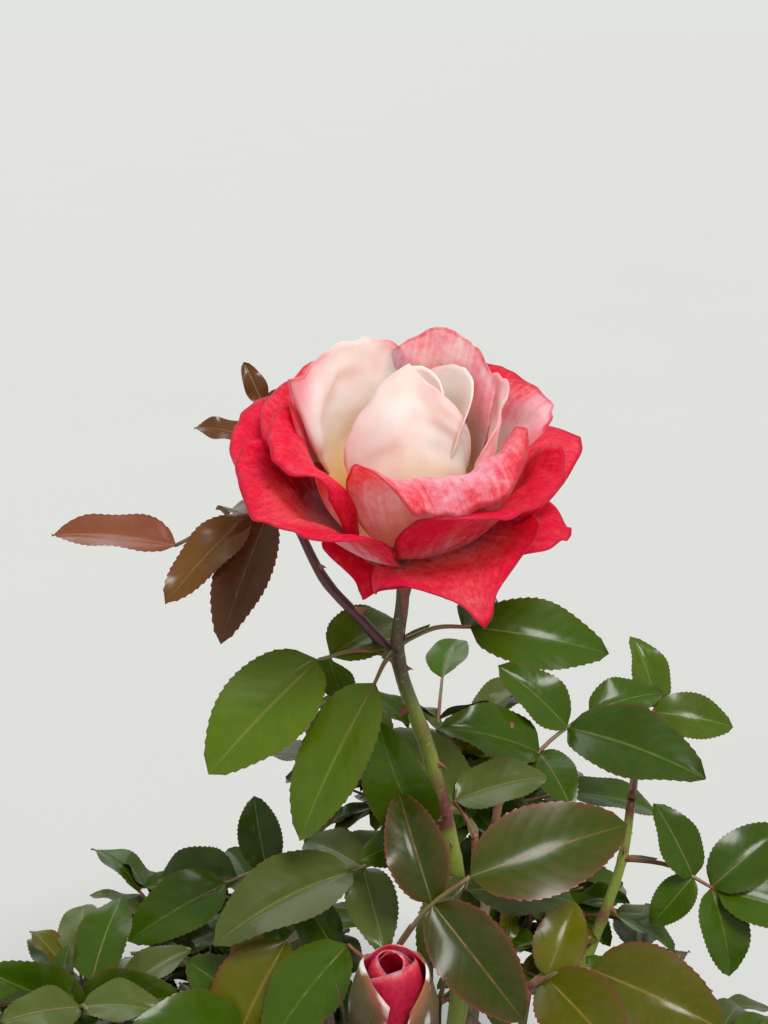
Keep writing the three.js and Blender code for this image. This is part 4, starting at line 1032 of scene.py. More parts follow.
def sepal_bmesh(midline, width, azimuth, twist, lobes):
    """A sepal: a narrow pointed blade along [distance out, height] places, with thin side lobes."""
    curve = SmoothCurve([(r, 0, h) for r, h in midline])

    def shape(u, v):
        across = 2 * u - 1
        centre, along = curve.point(v), curve.tangent(v)
        out = Vector((-along.z, 0, along.x))
        body = (0.9 + 0.25 * math.sin(math.pi * v * 1.2)) * (1 - v) ** 0.8 + 0.05
        lobe = lobes * max(0, math.sin(v * 17)) ** 3 * smoothstep(v, 0.15, 0.3) * smoothstep(v, 0.8, 0.6)
        half = width / 2 * body + (lobe if abs(across) > 0.9 else 0)
        cup = 0.9 * (1 - across**2) * (1 - v)
        turn = twist * v * v
        side = Vector((0, 1, 0)) * math.cos(turn) + out * math.sin(turn)
        return centre + side * (across * half) - out * cup

    bm = shaped_grid(*SEPAL_GRID, shape)
    bmesh.ops.solidify(bm, geom=bm.faces, thickness=SEPAL_THICKNESS)
    bmesh.ops.rotate(bm, cent=(0, 0, 0), matrix=Matrix.Rotation(math.radians(azimuth), 3, "Z"), verts=bm.verts)
    bmesh.ops.recalc_face_normals(bm, faces=bm.faces)
    return bm


def join_bmeshes(parts):
    """Gathers several bmeshes into the first."""
    whole = parts[0]
    for part in parts[1:]:
        mesh = bpy.data.meshes.new("joining")
        part.to_mesh(mesh)
        part.free()
        whole.from_mesh(mesh)
        bpy.data.meshes.remove(mesh)
    return whole


def bud_outline(share):
    for (s0, r0), (s1, r1) in zip(BUD_OUTLINE, BUD_OUTLINE[1:]):
        if share <= s1:
            return lerp(r0, r1, (share - s0) / (s1 - s0))
    return BUD_OUTLINE[-1][1]


def bud_petal_bmesh(number, turn, wide, top, layer, flare):
    """One petal of the bud, wound round the egg; layer shrinks it inside the next, and flare opens its rim."""
    stand = bloom_frame(BUD_SEAT, BUD_NOD)

    def shape(u, v):
        across = 2 * u - 1
        rim = top * (1 - 0.16 * abs(across) ** 2.4)
        share = v * rim
        spin = math.radians(turn + across * wide / 2 * (0.35 + 0.65 * smoothstep(v, 0, 0.4)) + 26 * v)
        radius = BUD_RADIUS * bud_outline(share) * (layer - 0.05 * across) + 0.2
        radius += flare * smoothstep(v, 0.75, 1) ** 2
        radius += 0.35 * rough((across * 9, number * 5, v * 30), 8) * v
        place = Vector((math.cos(spin) * radius, math.sin(spin) * radius, share * BUD_HEIGHT))
        return stand @ place

    def flush(u, v):
        ragged = 0.7 + 0.6 * rough((u * 30, v * 30, number), 4)
        edge = max(smoothstep(abs(2 * u - 1), 0.8, 1), smoothstep(v, 0.94, 1)) * ragged
        if number > 3:  # the two that wrap it, weathered on the outside
            return -0.7 + 1.1 * rough((u * 24, number * 9, v * 18), 5) + 0.6 * edge
        return clamp(0.98 - edge * 0.55, 0, 1)

    bm = shaped_grid(*BUD_PETAL_GRID, shape, flush)
    bmesh.ops.solidify(bm, geom=bm.faces, thickness=BUD_PETAL_THICKNESS)
    return bm


# ---------------------------------------------------------------- materials


class Graph:
    """Short hands for wiring one node tree."""

    def __init__(self, tree):
        self.tree = tree

    def add(self, kind, settings=None, **feeds):
        """Adds a node; settings are its own options, and feeds its sockets by name, with _ for a space."""
        node = self.tree.nodes.new(kind)
        for key, value in (settings or {}).items():
            setattr(node, key, value)
        return self.wire(node, **feeds)

    def wire(self, node, **feeds):
        for key, value in feeds.items():
            self.feed(node.inputs[key.replace("_", " ")], value)
        return node

    def group(self, name, build, **feeds):
        """Adds a node group, which is built the first time that it is asked for, and gives its outputs."""
        tree = bpy.data.node_groups.get(name) or build()
        return self.add("ShaderNodeGroup", {"node_tree": tree}, **feeds).outputs

    def attribute(self, name):
        return self.add("ShaderNodeAttribute", {"attribute_name": name}).outputs["Fac"]

    def parts(self, vector):
        return self.add("ShaderNodeSeparateXYZ", Vector=vector).outputs

    def feed(self, socket, value):
        if isinstance(value, bpy.types.NodeSocket):
            self.tree.links.new(value, socket)
        elif socket.type == "RGBA" and len(value) == 3:
            socket.default_value = (*value, 1)
        else:
            socket.default_value = value

    def math(self, operation, a, b=None, clamp=False):
        node = self.tree.nodes.new("ShaderNodeMath")
        node.operation, node.use_clamp = operation, clamp
        for socket, value in zip(node.inputs, (a, b)):
            if value is not None:
                self.feed(socket, value)
        return node.outputs[0]

    def plus(self, a, b):
        return self.math("ADD", a, b)

    def minus(self, a, b):
        return self.math("SUBTRACT", a, b)

    def times(self, a, b):
        return self.math("MULTIPLY", a, b)

    def remap(self, value, low, high, to_low=0.0, to_high=1.0):
        node = self.tree.nodes.new("ShaderNodeMapRange")
        node.interpolation_type = "SMOOTHSTEP"
        for socket, given in zip(node.inputs, (value, low, high, to_low, to_high)):
            self.feed(socket, given)
        return node.outputs[0]

    def mix(self, factor, a, b):
        node = self.tree.nodes.new("ShaderNodeMix")
        node.data_type = "RGBA"
        for socket, value in zip([node.inputs[0], node.inputs[6], node.inputs[7]], (factor, a, b)):
            self.feed(socket, value)
        return node.outputs[2]

    def ramp(self, value, stops):
        node = self.tree.nodes.new("ShaderNodeValToRGB")
        elements = node.color_ramp.elements
        while len(elements) < len(stops):
            elements.new(0.5)
        for element, (position, colour) in zip(elements, stops):
            element.position, element.color = position, (*colour, 1)
        self.feed(node.inputs[0], value)
        return node.outputs[0]

    def scaled(self, vector, scale):
        return self.add("ShaderNodeMapping", Vector=vector, Scale=scale).outputs[0]

    def noise(self, vector, scale, detail=3.0, roughness=0.5):
        feeds = {"Vector": vector, "Scale": scale, "Detail": detail, "Roughness": roughness}
        return self.add("ShaderNodeTexNoise", **feeds).outputs[0]

    def coordinates(self, kind="Object"):
        return self.tree.nodes.new("ShaderNodeTexCoord").outputs[kind]

    def bump(self, height, strength, distance):
        return self.add("ShaderNodeBump", Height=height, Strength=strength, Distance=distance).outputs[0]


def new_group(name, inputs, outputs):
    """A shader node group with named inputs, each with its default, and named outputs."""
    group = bpy.data.node_groups.new(name, "ShaderNodeTree")
    for label, default in inputs.items():
        socket = group.interface.new_socket(label, in_out="INPUT", socket_type="NodeSocketFloat")
        socket.default_value = default
    for label in outputs:
        group.interface.new_socket(label, in_out="OUTPUT", socket_type="NodeSocketFloat")
    graph = Graph(group)
    entry = group.nodes.new("NodeGroupInput")
    leave = group.nodes.new("NodeGroupOutput")
    return group, graph, entry.outputs, leave


def leaf_pattern_group():
    """Veins, the quilting between them, the midrib and the rim of a leaflet, from its own pattern places."""
    group, graph, given, made = new_group(
        "leaf_pattern", {"Pairs of Veins": 8.0}, ["Veins", "Quilting", "Midrib", "Rim", "Blush", "Mottle"]
    )
    parts = graph.parts(graph.coordinates("UV"))
    across = graph.times(graph.minus(parts[0], 0.5), 2.0)
    side = graph.math("ABSOLUTE", across)
    hand = graph.math("GREATER_THAN", across, 0.0)
    slant = graph.times(graph.math("POWER", side, 1.25), 0.24)
    along = graph.times(graph.minus(parts[1], slant), given["Pairs of Veins"])
    wander = graph.times(graph.noise(graph.coordinates(), 90.0), 0.35)
    phase = graph.math("FRACT", graph.plus(graph.plus(along, wander), graph.times(hand, 0.5)))
    off = graph.times(graph.math("ABSOLUTE", graph.minus(phase, 0.5)), 2.0)
    fade = graph.remap(side, 1.0, 0.75)
    mottle = graph.noise(graph.coordinates(), 160.0, 4.0, 0.6)
    graph.wire(
        made,
        Veins=graph.times(graph.remap(off, 0.13, 0.0), fade),
        Quilting=graph.times(graph.remap(off, 0.0, 0.8), fade),
        Midrib=graph.remap(side, 0.06, 0.015),
        Rim=graph.remap(side, 0.9, 1.0),
        Blush=graph.remap(graph.plus(side, graph.times(mottle, 1.4)), 0.9, 1.7),
        Mottle=mottle,
    )
    return group


def petal_pattern_group():
    """The uneven flush of a petal: its tone, with mottles where it reddens, its rim, its veins and its relief."""
    group, graph, given, made = new_group(
        "petal_pattern", {"Mottling": 0.3}, ["Tone", "Foot", "Relief", "Mottle", "Rim", "Veins", "Husk"]
    )
    flush = graph.attribute("flush")
    pattern, place = graph.coordinates("UV"), graph.coordinates()
    parts = graph.parts(pattern)
    streaks = graph.noise(graph.scaled(pattern, (26.0, 2.5, 1.0)), 1.0, 3.0, 0.6)
    blots = graph.noise(place, 420.0, 3.0, 0.65)
    clouds = graph.noise(place, 90.0, 2.0, 0.5)
    blot = graph.times(graph.minus(blots, 0.5), 0.9)
    cloud = graph.times(graph.minus(clouds, 0.5), 0.7)
    change = graph.plus(graph.plus(blot, graph.minus(streaks, 0.5)), cloud)
    spread = graph.times(graph.times(flush, graph.minus(1.25, flush)), 2.0)
    change = graph.times(graph.times(change, spread), given["Mottling"])
    veins = graph.noise(graph.scaled(pattern, (70.0, 3.0, 1.0)), 1.0, 2.0, 0.5)
    side = graph.math("ABSOLUTE", graph.minus(parts[0], 0.5))
    ragged = graph.times(graph.minus(clouds, 0.5), 0.03)
    top = graph.remap(graph.plus(parts[1], ragged), 0.972, 0.992)
    flank = graph.remap(graph.plus(side, ragged), 0.484, 0.494)
    fine = graph.noise(graph.scaled(pattern, (120.0, 22.0, 1.0)), 1.0, 4.0, 0.7)
    specks = graph.noise(place, 620.0, 3.0, 0.65)
    graph.wire(
        made,
        Tone=graph.math("ADD", flush, change, clamp=True),
        # The foot of the petal, where a warm yellow-orange is laid: partly the petal's own yellow base, partly painted
        # glow of the shaded heart
        Foot=graph.remap(parts[1], 0.78, 0.25),
        Relief=graph.plus(veins, graph.times(blots, 0.5)),
        Mottle=graph.remap(blots, 0.42, 0.62),
        Rim=graph.math("MAXIMUM", top, flank),
        Veins=graph.remap(graph.plus(graph.times(fine, 0.5), graph.times(specks, 0.5)), 0.44, 0.6),
        Husk=graph.remap(flush, 0.0, -0.35),
    )
    return group


def bark_pattern_group():
    """Fissures, fine grain and the lift towards green with height, for stems and canes."""
    group, graph, given, made = new_group(
        "bark_pattern", {"Bark Top": 0.12}, ["Fissures", "Grain", "Green", "Speckle"]
    )
    place = graph.coordinates()
    fissures = graph.noise(graph.scaled(place, (420.0, 420.0, 60.0)), 1.0, 4.0, 0.65)
    patches = graph.noise(place, 55.0, 3.0, 0.6)
    rise = graph.plus(graph.parts(place)[2], graph.times(graph.minus(patches, 0.5), 0.1))
    low, high = graph.minus(given["Bark Top"], 0.05), graph.plus(given["Bark Top"], 0.05)
    graph.wire(
        made,
        Fissures=graph.remap(fissures, 0.38, 0.56),
        Grain=graph.noise(graph.scaled(place, (900.0, 900.0, 130.0)), 1.0, 3.0, 0.6),
        Green=graph.remap(rise, low, high),
        Speckle=graph.remap(graph.noise(place, 700.0, 2.0, 0.5), 0.62, 0.72),
    )
    return group


def shade(colour, share):
    """A colour made darker, or lighter by a share above 1."""
    return tuple(share * part for part in colour)


def new_material(name, viewport):
    material = bpy.data.materials.new(name)
    material.use_nodes = True
    material.diffuse_color = (*viewport, 1)
    shader = material.node_tree.nodes["Principled BSDF"]
    return material, Graph(material.node_tree), shader


def leaf_material(name, look):
    """A glossy leaf: veins and quilting, a reddish rim, and a paler matt underside."""
    material, graph, shader = new_material(name, look["upper"])
    marks = graph.group("leaf_pattern", leaf_pattern_group)
    tone = graph.plus(graph.times(graph.attribute("tint"), 0.55), graph.times(marks["Mottle"], 0.45))
    body = graph.mix(tone, shade(look["upper"], 0.62), shade(look["upper"], 1.45))
    body = graph.mix(graph.times(marks["Veins"], 0.12), body, look["vein"])
    body = graph.mix(graph.times(marks["Midrib"], 0.75), body, look["vein"])
    body = graph.mix(graph.times(marks["Blush"], 0.28 * look["rim_share"] ** 2), body, look["rim"])
    upper = graph.mix(graph.times(marks["Rim"], look["rim_share"]), body, look["rim"])
    ribs = graph.math("MAXIMUM", marks["Midrib"], graph.times(marks["Veins"], 0.5))
    under = graph.mix(ribs, look["under"], look["vein"])
    back = graph.tree.nodes.new("ShaderNodeNewGeometry").outputs["Backfacing"]
    gloss = graph.remap(marks["Mottle"], 0.3, 0.7, look["roughness"] - 0.05, look["roughness"] + 0.08)
    height = graph.minus(marks["Quilting"], graph.times(marks["Midrib"], 1.5))
    height = graph.plus(height, graph.times(marks["Mottle"], 0.35))
    graph.wire(
        shader,
        Base_Color=graph.mix(back, upper, under),
        Roughness=graph.plus(gloss, graph.times(back, 0.25)),
        Normal=graph.bump(height, 0.07, 0.0012),
        Specular_IOR_Level=0.08,
        Coat_Weight=graph.remap(back, 0.0, 1.0, 0.22, 0.0),
        Coat_Roughness=0.17,
    )
    return material


VEIN_RED = (0.36, 0.0, 0.016)  # the dark red between the veins of a crimson petal
HUSK = (0.1, 0.088, 0.022)  # the weathered skin of the petals that wrap the bud, and its brown patches
HUSK_BROWN = (0.15, 0.06, 0.04)
RIM_RED = (0.26, 0.004, 0.02)  # the thin dark edge of a reddened petal


def petal_material(name, colours, mottling):
    """A velvety petal: cream through pink to crimson by its flush, and warm yellow-orange at its foot, which is partly
    its own yellow base and partly painted glow of light scattered deep in the shaded heart of the bloom.
    """
    material, graph, shader = new_material(name, colours.pink)
    marks = graph.group("petal_pattern", petal_pattern_group, Mottling=mottling)
    tone = marks["Tone"]
    stops = [
        (0.0, colours.cream),
        (0.25, colours.blush),
        (0.52, colours.pink),
        (0.76, colours.rose),
        (1.0, colours.crimson),
    ]
    body = graph.ramp(tone, stops)
    # Painted warm glow: the lower part of the paler petals is tinted yellow-orange, partly their own yellow base and
    # partly the glow of light scattered deep in the shaded heart
    body = graph.mix(graph.times(marks["Foot"], graph.remap(tone, 0.5, 0.1)), body, colours.petal_foot_glow)
    redness = graph.remap(tone, 0.6, 0.95)
    body = graph.mix(graph.times(graph.times(marks["Veins"], redness), 0.55), body, VEIN_RED)
    body = graph.mix(marks["Husk"], body, graph.mix(marks["Mottle"], HUSK, HUSK_BROWN))
    rim = graph.times(marks["Rim"], graph.remap(tone, 0.15, 0.7, 0.1, 0.7))
    graph.wire(
        shader,
        Base_Color=graph.mix(rim, body, RIM_RED),
        Roughness=graph.remap(marks["Mottle"], 0.0, 1.0, 0.5, 0.62),
        Normal=graph.bump(marks["Relief"], 0.4 * mottling, 0.0006),
        Subsurface_Weight=0.6,
        Subsurface_Radius=(1.0, 0.4, 0.3),
        Subsurface_Scale=0.006,
        Specular_IOR_Level=0.16,
    )
    return material


CROWN_FROM = 0.28  # height at which the skin of the flowering cane darkens


def limb_material(name, young, old, bark_top, roughness, blush=None, crown=None):
    """A cane: old bark near the ground, young skin with a sunlit flush above it, and darker skin in its crown."""
    material, graph, shader = new_material(name, young)
    marks = graph.group("bark_pattern", bark_pattern_group, Bark_Top=bark_top)
    bark = graph.mix(marks["Fissures"], shade(old, 0.45), old)
    bark = graph.mix(graph.times(marks["Grain"], 0.5), bark, shade(old, 1.6))
    skin = graph.mix(marks["Grain"], shade(young, 0.7), shade(young, 1.25))
    if blush:
        patches = graph.noise(graph.coordinates(), 38.0, 2.0, 0.5)
        skin = graph.mix(graph.remap(patches, 0.5, 0.68), skin, blush)
    if crown:
        height = graph.parts(graph.coordinates())[2]
        skin = graph.mix(graph.remap(height, CROWN_FROM - 0.02, CROWN_FROM), skin, crown)
    skin = graph.mix(graph.times(marks["Speckle"], 0.4), skin, shade(young, 1.9))
    rugged = graph.times(marks["Fissures"], graph.remap(marks["Green"], 0.0, 1.0, 1.0, 0.06))
    height = graph.plus(rugged, graph.times(marks["Grain"], 0.15))
    graph.wire(
        shader,
        Base_Color=graph.mix(marks["Green"], bark, skin),
        Roughness=graph.remap(marks["Green"], 0.0, 1.0, 0.85, roughness),
        Normal=graph.bump(height, 0.6, 0.0012),
    )
    return material


def skin_material(name, colour, flush, roughness):
    """Small green or red parts: stalks, sepals, hips and prickles, with a patchy flush."""
    material, graph, shader = new_material(name, colour)
    patches = graph.remap(graph.noise(graph.coordinates(), 60.0, 2.0, 0.5), 0.38, 0.62)
    grain = graph.noise(graph.coordinates(), 780.0, 3.0, 0.6)
    body = graph.mix(graph.times(grain, 0.4), graph.mix(patches, colour, flush), shade(colour, 0.5))
    graph.wire(
        shader,
        Base_Color=body,
        Roughness=graph.remap(grain, 0.3, 0.7, roughness - 0.08, roughness + 0.08),
        Normal=graph.bump(grain, 0.3, 0.0005),
    )
    return material


LEAF_LOOKS = {
    "deep": {"upper": (0.031, 0.066, 0.001), "vein": (0.07, 0.12, 0.012), "rim_share": 0.25},
    # Painted highlight, partly real: a lighter copy of the deep green, partly the leaves' own brighter tone and partly
    # the highlight on the front leaves painted into their colour
    "green": {"upper": (0.06, 0.105, 0.003), "vein": (0.12, 0.18, 0.02), "rim_share": 0.2},
    # Painted sheen, partly real: this greyer, bluer green is partly the leaves' own glaucous tone and partly the grey
    # sky reflection on them, painted into their colour
    "grey": {"upper": (0.055, 0.078, 0.014), "vein": (0.1, 0.14, 0.035), "rim_share": 0.2},
    "fresh": {"upper": (0.13, 0.22, 0.006), "vein": (0.25, 0.36, 0.04), "rim_share": 0.3},
    "olive": {"upper": (0.075, 0.08, 0.001), "vein": (0.17, 0.13, 0.015), "rim_share": 0.75},
    "bronze": {"upper": (0.029, 0.044, 0.001), "vein": (0.11, 0.075, 0.02), "rim_share": 0.85},
    "copper_olive": {"upper": (0.12, 0.055, 0.008), "vein": (0.2, 0.09, 0.02), "rim_share": 0.8},
    "copper_red": {"upper": (0.18, 0.056, 0.026), "vein": (0.3, 0.08, 0.03), "rim_share": 0.6},
    "copper_dark": {"upper": (0.09, 0.038, 0.01), "vein": (0.15, 0.05, 0.02), "rim_share": 0.8},
}
LEAF_ROUGHNESS = {"grey": 0.4, "bronze": 0.36}  # 0.3 for the others


def leaf_materials(rim):
    """A material for each of the leaf looks; a copper leaf's underside is less pale."""
    made = []
    for name, look in LEAF_LOOKS.items():
        red, green, blue = look["upper"]
        pale = 0.3 if name.startswith("copper") else 1
        under = (red * 1.3 + 0.05 * pale, green * 1.1 + 0.07 * pale, 0.045 * pale + blue)
        look = {**look, "roughness": LEAF_ROUGHNESS.get(name, 0.3), "rim": rim, "under": under}
        made.append(bpy.data.materials.get(name + "_leaf") or leaf_material(name + "_leaf", look))
    return made


# ---------------------------------------------------------------- sizes and colours that a user would change


def number(name, description, default, **more):
    return bpy.props.FloatProperty(name=name, description=description, default=default, **more)


def length(name, description, default):
    return number(name, description, default, unit="LENGTH")


def count(name, description, default):
    return bpy.props.IntProperty(name=name, description=description, default=default)


def colour(name, description, default):
    return bpy.props.FloatVectorProperty(
        name=name, description=description, default=default, subtype="COLOR", min=0, max=1
    )


class RoseLimbSettings(bpy.types.PropertyGroup):
    bark_relief: length("Bark Relief", "Depth of the bark on old wood", 0.0008)
    node_spacing: length("Node Spacing", "Distance between the swollen nodes of a cane", 0.026)
    prickle_length: length("Prickle Length", "Length of the largest prickles", 0.0052)
    prickle_spacing: length("Prickle Spacing", "Distance between prickles along a cane", 0.013)


class RoseLeafSettings(bpy.types.PropertyGroup):
    teeth: count("Teeth", "Saw teeth on each side of a leaflet", 18)
    tooth_depth: length("Tooth Depth", "How far a tooth stands out", 0.0005)
    fold: number("Fold", "How far the halves of a leaflet rise beside its midrib", 0.3, subtype="FACTOR")
    ripple: length("Ripple", "Height of the ripples along the rim of a leaflet", 0.0009)
    fillers: count("Small Leaves", "Small leaves tried on each shoot that the rule grows", 90)


class RosePetalSettings(bpy.types.PropertyGroup):
    thickness: length("Thickness", "Thickness of a petal", 0.00045)
    crumple: length("Crumple", "Height of the soft waves in a petal", 0.0009)
    columns: count("Columns", "Faces across a petal", 32)
    rows: count("Rows", "Faces along a petal", 36)


class RoseColourSettings(bpy.types.PropertyGroup):
    cream: colour("Cream", "Inner petals", (1.0, 0.9, 0.78))
    blush: colour("Blush", "First flush over the cream", (0.95, 0.68, 0.64))
    pink: colour("Pink", "Middle of the petals", (0.9, 0.31, 0.38))
    rose: colour("Rose", "Upper part of the outer petals", (0.84, 0.06, 0.085))
    crimson: colour("Crimson", "Rims of the outer petals", (0.72, 0.004, 0.035))
    # Partly painted glow: the yellow-orange of the petal feet also stands for the warm light scattered deep in the
    # shaded heart of the bloom
    petal_foot_glow: colour("Petal Foot", "Warm foot of the inner petals", (1.0, 0.46, 0.13))
    leaf_rim: colour("Leaf Rim", "Reddish rim of the leaflets", (0.13, 0.035, 0.02))
    young_cane: colour("Young Cane", "Skin of the green canes", (0.19, 0.24, 0.03))
    peduncle: colour("Peduncle", "Top of the flowering cane", (0.07, 0.045, 0.02))
    brown_cane: colour("Brown Cane", "Skin of the older canes", (0.14, 0.11, 0.05))
    purple_shoot: colour("Purple Shoot", "Skin of the side shoot", (0.095, 0.03, 0.035))
    bark: colour("Bark", "Old wood near the ground", (0.2, 0.15, 0.1))
    stalk: colour("Stalk", "Leaf stalks", (0.17, 0.16, 0.05))
    stipule: colour("Stipule", "Wings at the foot of the leaf stalks", (0.09, 0.15, 0.035))
    stalk_flush: colour("Stalk Flush", "Red side of the leaf stalks", (0.24, 0.055, 0.04))
    sepal: colour("Sepal", "Sepals and hips", (0.12, 0.15, 0.05))
    prickle: colour("Prickle", "Prickles", (0.26, 0.1, 0.06))


class RoseStageSettings(bpy.types.PropertyGroup):
    floor: colour("Floor", "The floor under the plant", (0.475, 0.482, 0.463))
    horizon: colour("Horizon", "The light from low all round", (0.76, 0.774, 0.742))
    zenith: colour("Zenith", "The light from overhead", (0.66, 0.67, 0.68))
    key_strength: number("Key Light", "Strength of the main light", 2.5)
    back_strength: number("Back Light", "Strength of the back light", 0.9)
    sky_strength: number("Sky", "Brightness of the light all round", 1.0)


class RoseBushSettings(bpy.types.PropertyGroup):
    limbs: bpy.props.PointerProperty(type=RoseLimbSettings)
    leaves: bpy.props.PointerProperty(type=RoseLeafSettings)
    petals: bpy.props.PointerProperty(type=RosePetalSettings)
    colours: bpy.props.PointerProperty(type=RoseColourSettings)
    stage: bpy.props.PointerProperty(type=RoseStageSettings)


# ---------------------------------------------------------------- operators


class ROSE_OT_main_stem(bpy.types.Operator):
    """Grow the short main stem with its root flare and fissured bark"""

    bl_idname = "rosebush.main_stem"
    bl_label = "Main Stem"

    def execute(self, context):
        bush = context.scene.rose_bush
        bark = bush.colours.bark
        material = limb_material("old_bark", bark, bark, 1.0, 0.85)
        finish_piece("rose_main_stem", stem_bmesh(bush.limbs.bark_relief / MM), "bark", ["main_stem"], [material])
        return {"FINISHED"}


class ROSE_OT_canes(bpy.types.Operator):
    """Grow the canes and shoots, each with its prickles"""

    bl_idname = "rosebush.canes"
    bl_label = "Canes"

    def execute(self, context):
        bush = context.scene.rose_bush
        limbs, colours = bush.limbs, bush.colours
        bark, flush = colours.bark, shade(colours.stalk_flush, 0.5)
        materials = {
            "green_cane": limb_material(
                "green_cane_skin", colours.young_cane, bark, 0.1, 0.42, flush, colours.peduncle
            ),
            "brown_cane": limb_material("brown_cane_skin", colours.brown_cane, bark, 0.16, 0.5, flush),
            "purple_cane": limb_material("purple_cane_skin", colours.purple_shoot, bark, 0.05, 0.4),
        }
        thorn = skin_material("prickle_skin", colours.prickle, colours.stalk_flush, 0.5)
        draw = seeded(PRICKLE_SEED)
        for name, cane in CANES.items():
            bm, curve = cane_bmesh(name, limbs)
            slot = CANE_SLOTS.get(name, "brown_cane")
            finish_piece(name + "_limb", bm, slot, [name], [materials[slot]])
            sheaf = Sheaf()
            count = int(curve.length / (limbs.prickle_spacing / MM))
            for k in range(count):
                share = lerp(0.16, 0.95, (k + draw(-0.3, 0.3)) / max(count - 1, 1))
                way = curve.tangent(share)
                across = way.orthogonal().normalized()
                turn = math.radians(k * GOLDEN_ANGLE + draw(-30, 30))
                out = (across * math.cos(turn) + way.cross(across) * math.sin(turn)).normalized()
                radius = lerp(cane["foot"], cane["tip"], share)
                size = limbs.prickle_length / MM * draw(0.45, 1) * lerp(1, 0.75, share)
                add_prickle(sheaf, curve.point(share) + out * radius, out, way, size)
            if sheaf.faces:
                sheaf.piece(name + "_prickles", slot, [], [thorn])
        return {"FINISHED"}


class ROSE_OT_foliage(bpy.types.Operator):
    """Grow the leafy shoots: their stalks, and the leaflets of each mass as one piece"""

    bl_idname = "rosebush.foliage"
    bl_label = "Foliage"

    def execute(self, context):
        bush = context.scene.rose_bush
        leaves, colours = bush.leaves, bush.colours
        names = list(LEAF_LOOKS)
        materials = leaf_materials(colours.leaf_rim)
        stalk_skin = skin_material("stalk_skin", colours.stalk, colours.stalk_flush, 0.45)
        stipule_skin = skin_material("stipule_skin", colours.stipule, colours.stalk, 0.5)
        draw = seeded(LEAFLET_SEED)
        stalks = Sheaf()
        for mass, grown in grow_foliage(leaves.fillers).items():
            blades = Sheaf()
            twig = MASSES[mass].get("stem")
            if twig:
                stalks.add_tube(SmoothCurve(twig), twig_radius, 10, 12)
            for leaf in grown:

                def stalk_radius(share):
                    foot = 0.5 * math.exp(-((share / 0.06) ** 2))
                    return leaf.size * (lerp(STALK_RADIUS, STALK_TIP_RADIUS, share) + foot)

                def rib_radius(share):
                    return leaf.size * lerp(RIB_RADIUS, RIB_TIP_RADIUS, share)

                stalks.add_tube(leaf.stalk, stalk_radius, 8, 10)
                add_stipules(stalks, leaf)
                tones = leaf.spray if isinstance(leaf.spray, tuple) else (leaf.spray,)
                for number, blade in enumerate(leaf.blades):
                    tone = names.index(tones[min(number, len(tones) - 1)])
                    rib = add_blade(blades, leaf, blade, leaves, tone, draw)
                    stalks.add_tube(SmoothCurve(rib), rib_radius, 5, 6)
            slot = "copper_leaf" if mass == "copper_shoot" else "leaf"
            blades.piece(mass + "_leaves", slot, [mass], materials)
        stalks.piece("leaf_stalks", "leaf", list(MASSES), [stalk_skin, stipule_skin])
        return {"FINISHED"}


class ROSE_OT_bloom(bpy.types.Operator):
    """Open the bloom: each petal is one thin sheet with its own flush"""

    bl_idname = "rosebush.bloom"
    bl_label = "Bloom"

    def execute(self, context):
        bush = context.scene.rose_bush
        petals, colours = bush.petals, bush.colours
        materials = {
            slot: petal_material(slot + "_skin", colours, mottling)
            for slot, mottling in (("cream_petal", 0.12), ("pink_petal", 0.5), ("crimson_petal", 0.6))
        }
        for name in PETALS:
            shape, flush = petal_surface(name, petals)
            bm = shaped_grid(petals.columns, petals.rows, shape, flush)
            slot = petal_slot(name)
            piece = finish_piece(name + "_sheet", bm, slot, [name], [materials[slot]])
            wall = piece.modifiers.new("Thickness", "SOLIDIFY")
            wall.thickness, wall.offset = petals.thickness, 0
        return {"FINISHED"}


class ROSE_OT_calyx(bpy.types.Operator):
    """Grow the hip under the bloom and its five sepals"""

    bl_idname = "rosebush.calyx"
    bl_label = "Calyx"

    def execute(self, context):
        colours = context.scene.rose_bush.colours
        skin = skin_material("calyx_skin", colours.sepal, colours.stalk_flush, 0.55)
        top = -0.75
        hip = [
            (0, -HIP_HEIGHT), (CANES["flowering_cane"]["tip"], -HIP_HEIGHT), (3.2, -HIP_HEIGHT * 0.88),
            (HIP_RADIUS * 0.75, -HIP_HEIGHT * 0.7), (HIP_RADIUS * 0.94, -HIP_HEIGHT * 0.52),
            (HIP_RADIUS, -HIP_HEIGHT * 0.35), (HIP_RADIUS * 0.96, -HIP_HEIGHT * 0.2), (HIP_RADIUS * 0.85, top),
            (0, top),
        ]
        midline = [
            (HIP_RADIUS * 0.5, -2.4), (HIP_RADIUS * 1.5, -4), (HIP_RADIUS * 2, -SEPAL_LENGTH * 0.45),
            (HIP_RADIUS * 1.9, -SEPAL_LENGTH * 0.8), (HIP_RADIUS * 2.3, -SEPAL_LENGTH),
        ]
        twists = (0.5, -0.3, 0.8, -0.6, 0.2)
        sepals = [sepal_bmesh(midline, SEPAL_WIDTH, 198 + 72 * k, twist, 1.6) for k, twist in enumerate(twists)]
        whole = join_bmeshes([lathe_bmesh(hip, 28, 5, 0.03), *sepals])
        whole.transform(bloom_frame(BLOOM_SEAT, BLOOM_NOD))
        finish_piece("bloom_calyx", whole, "calyx", ["calyx"], [skin])
        return {"FINISHED"}


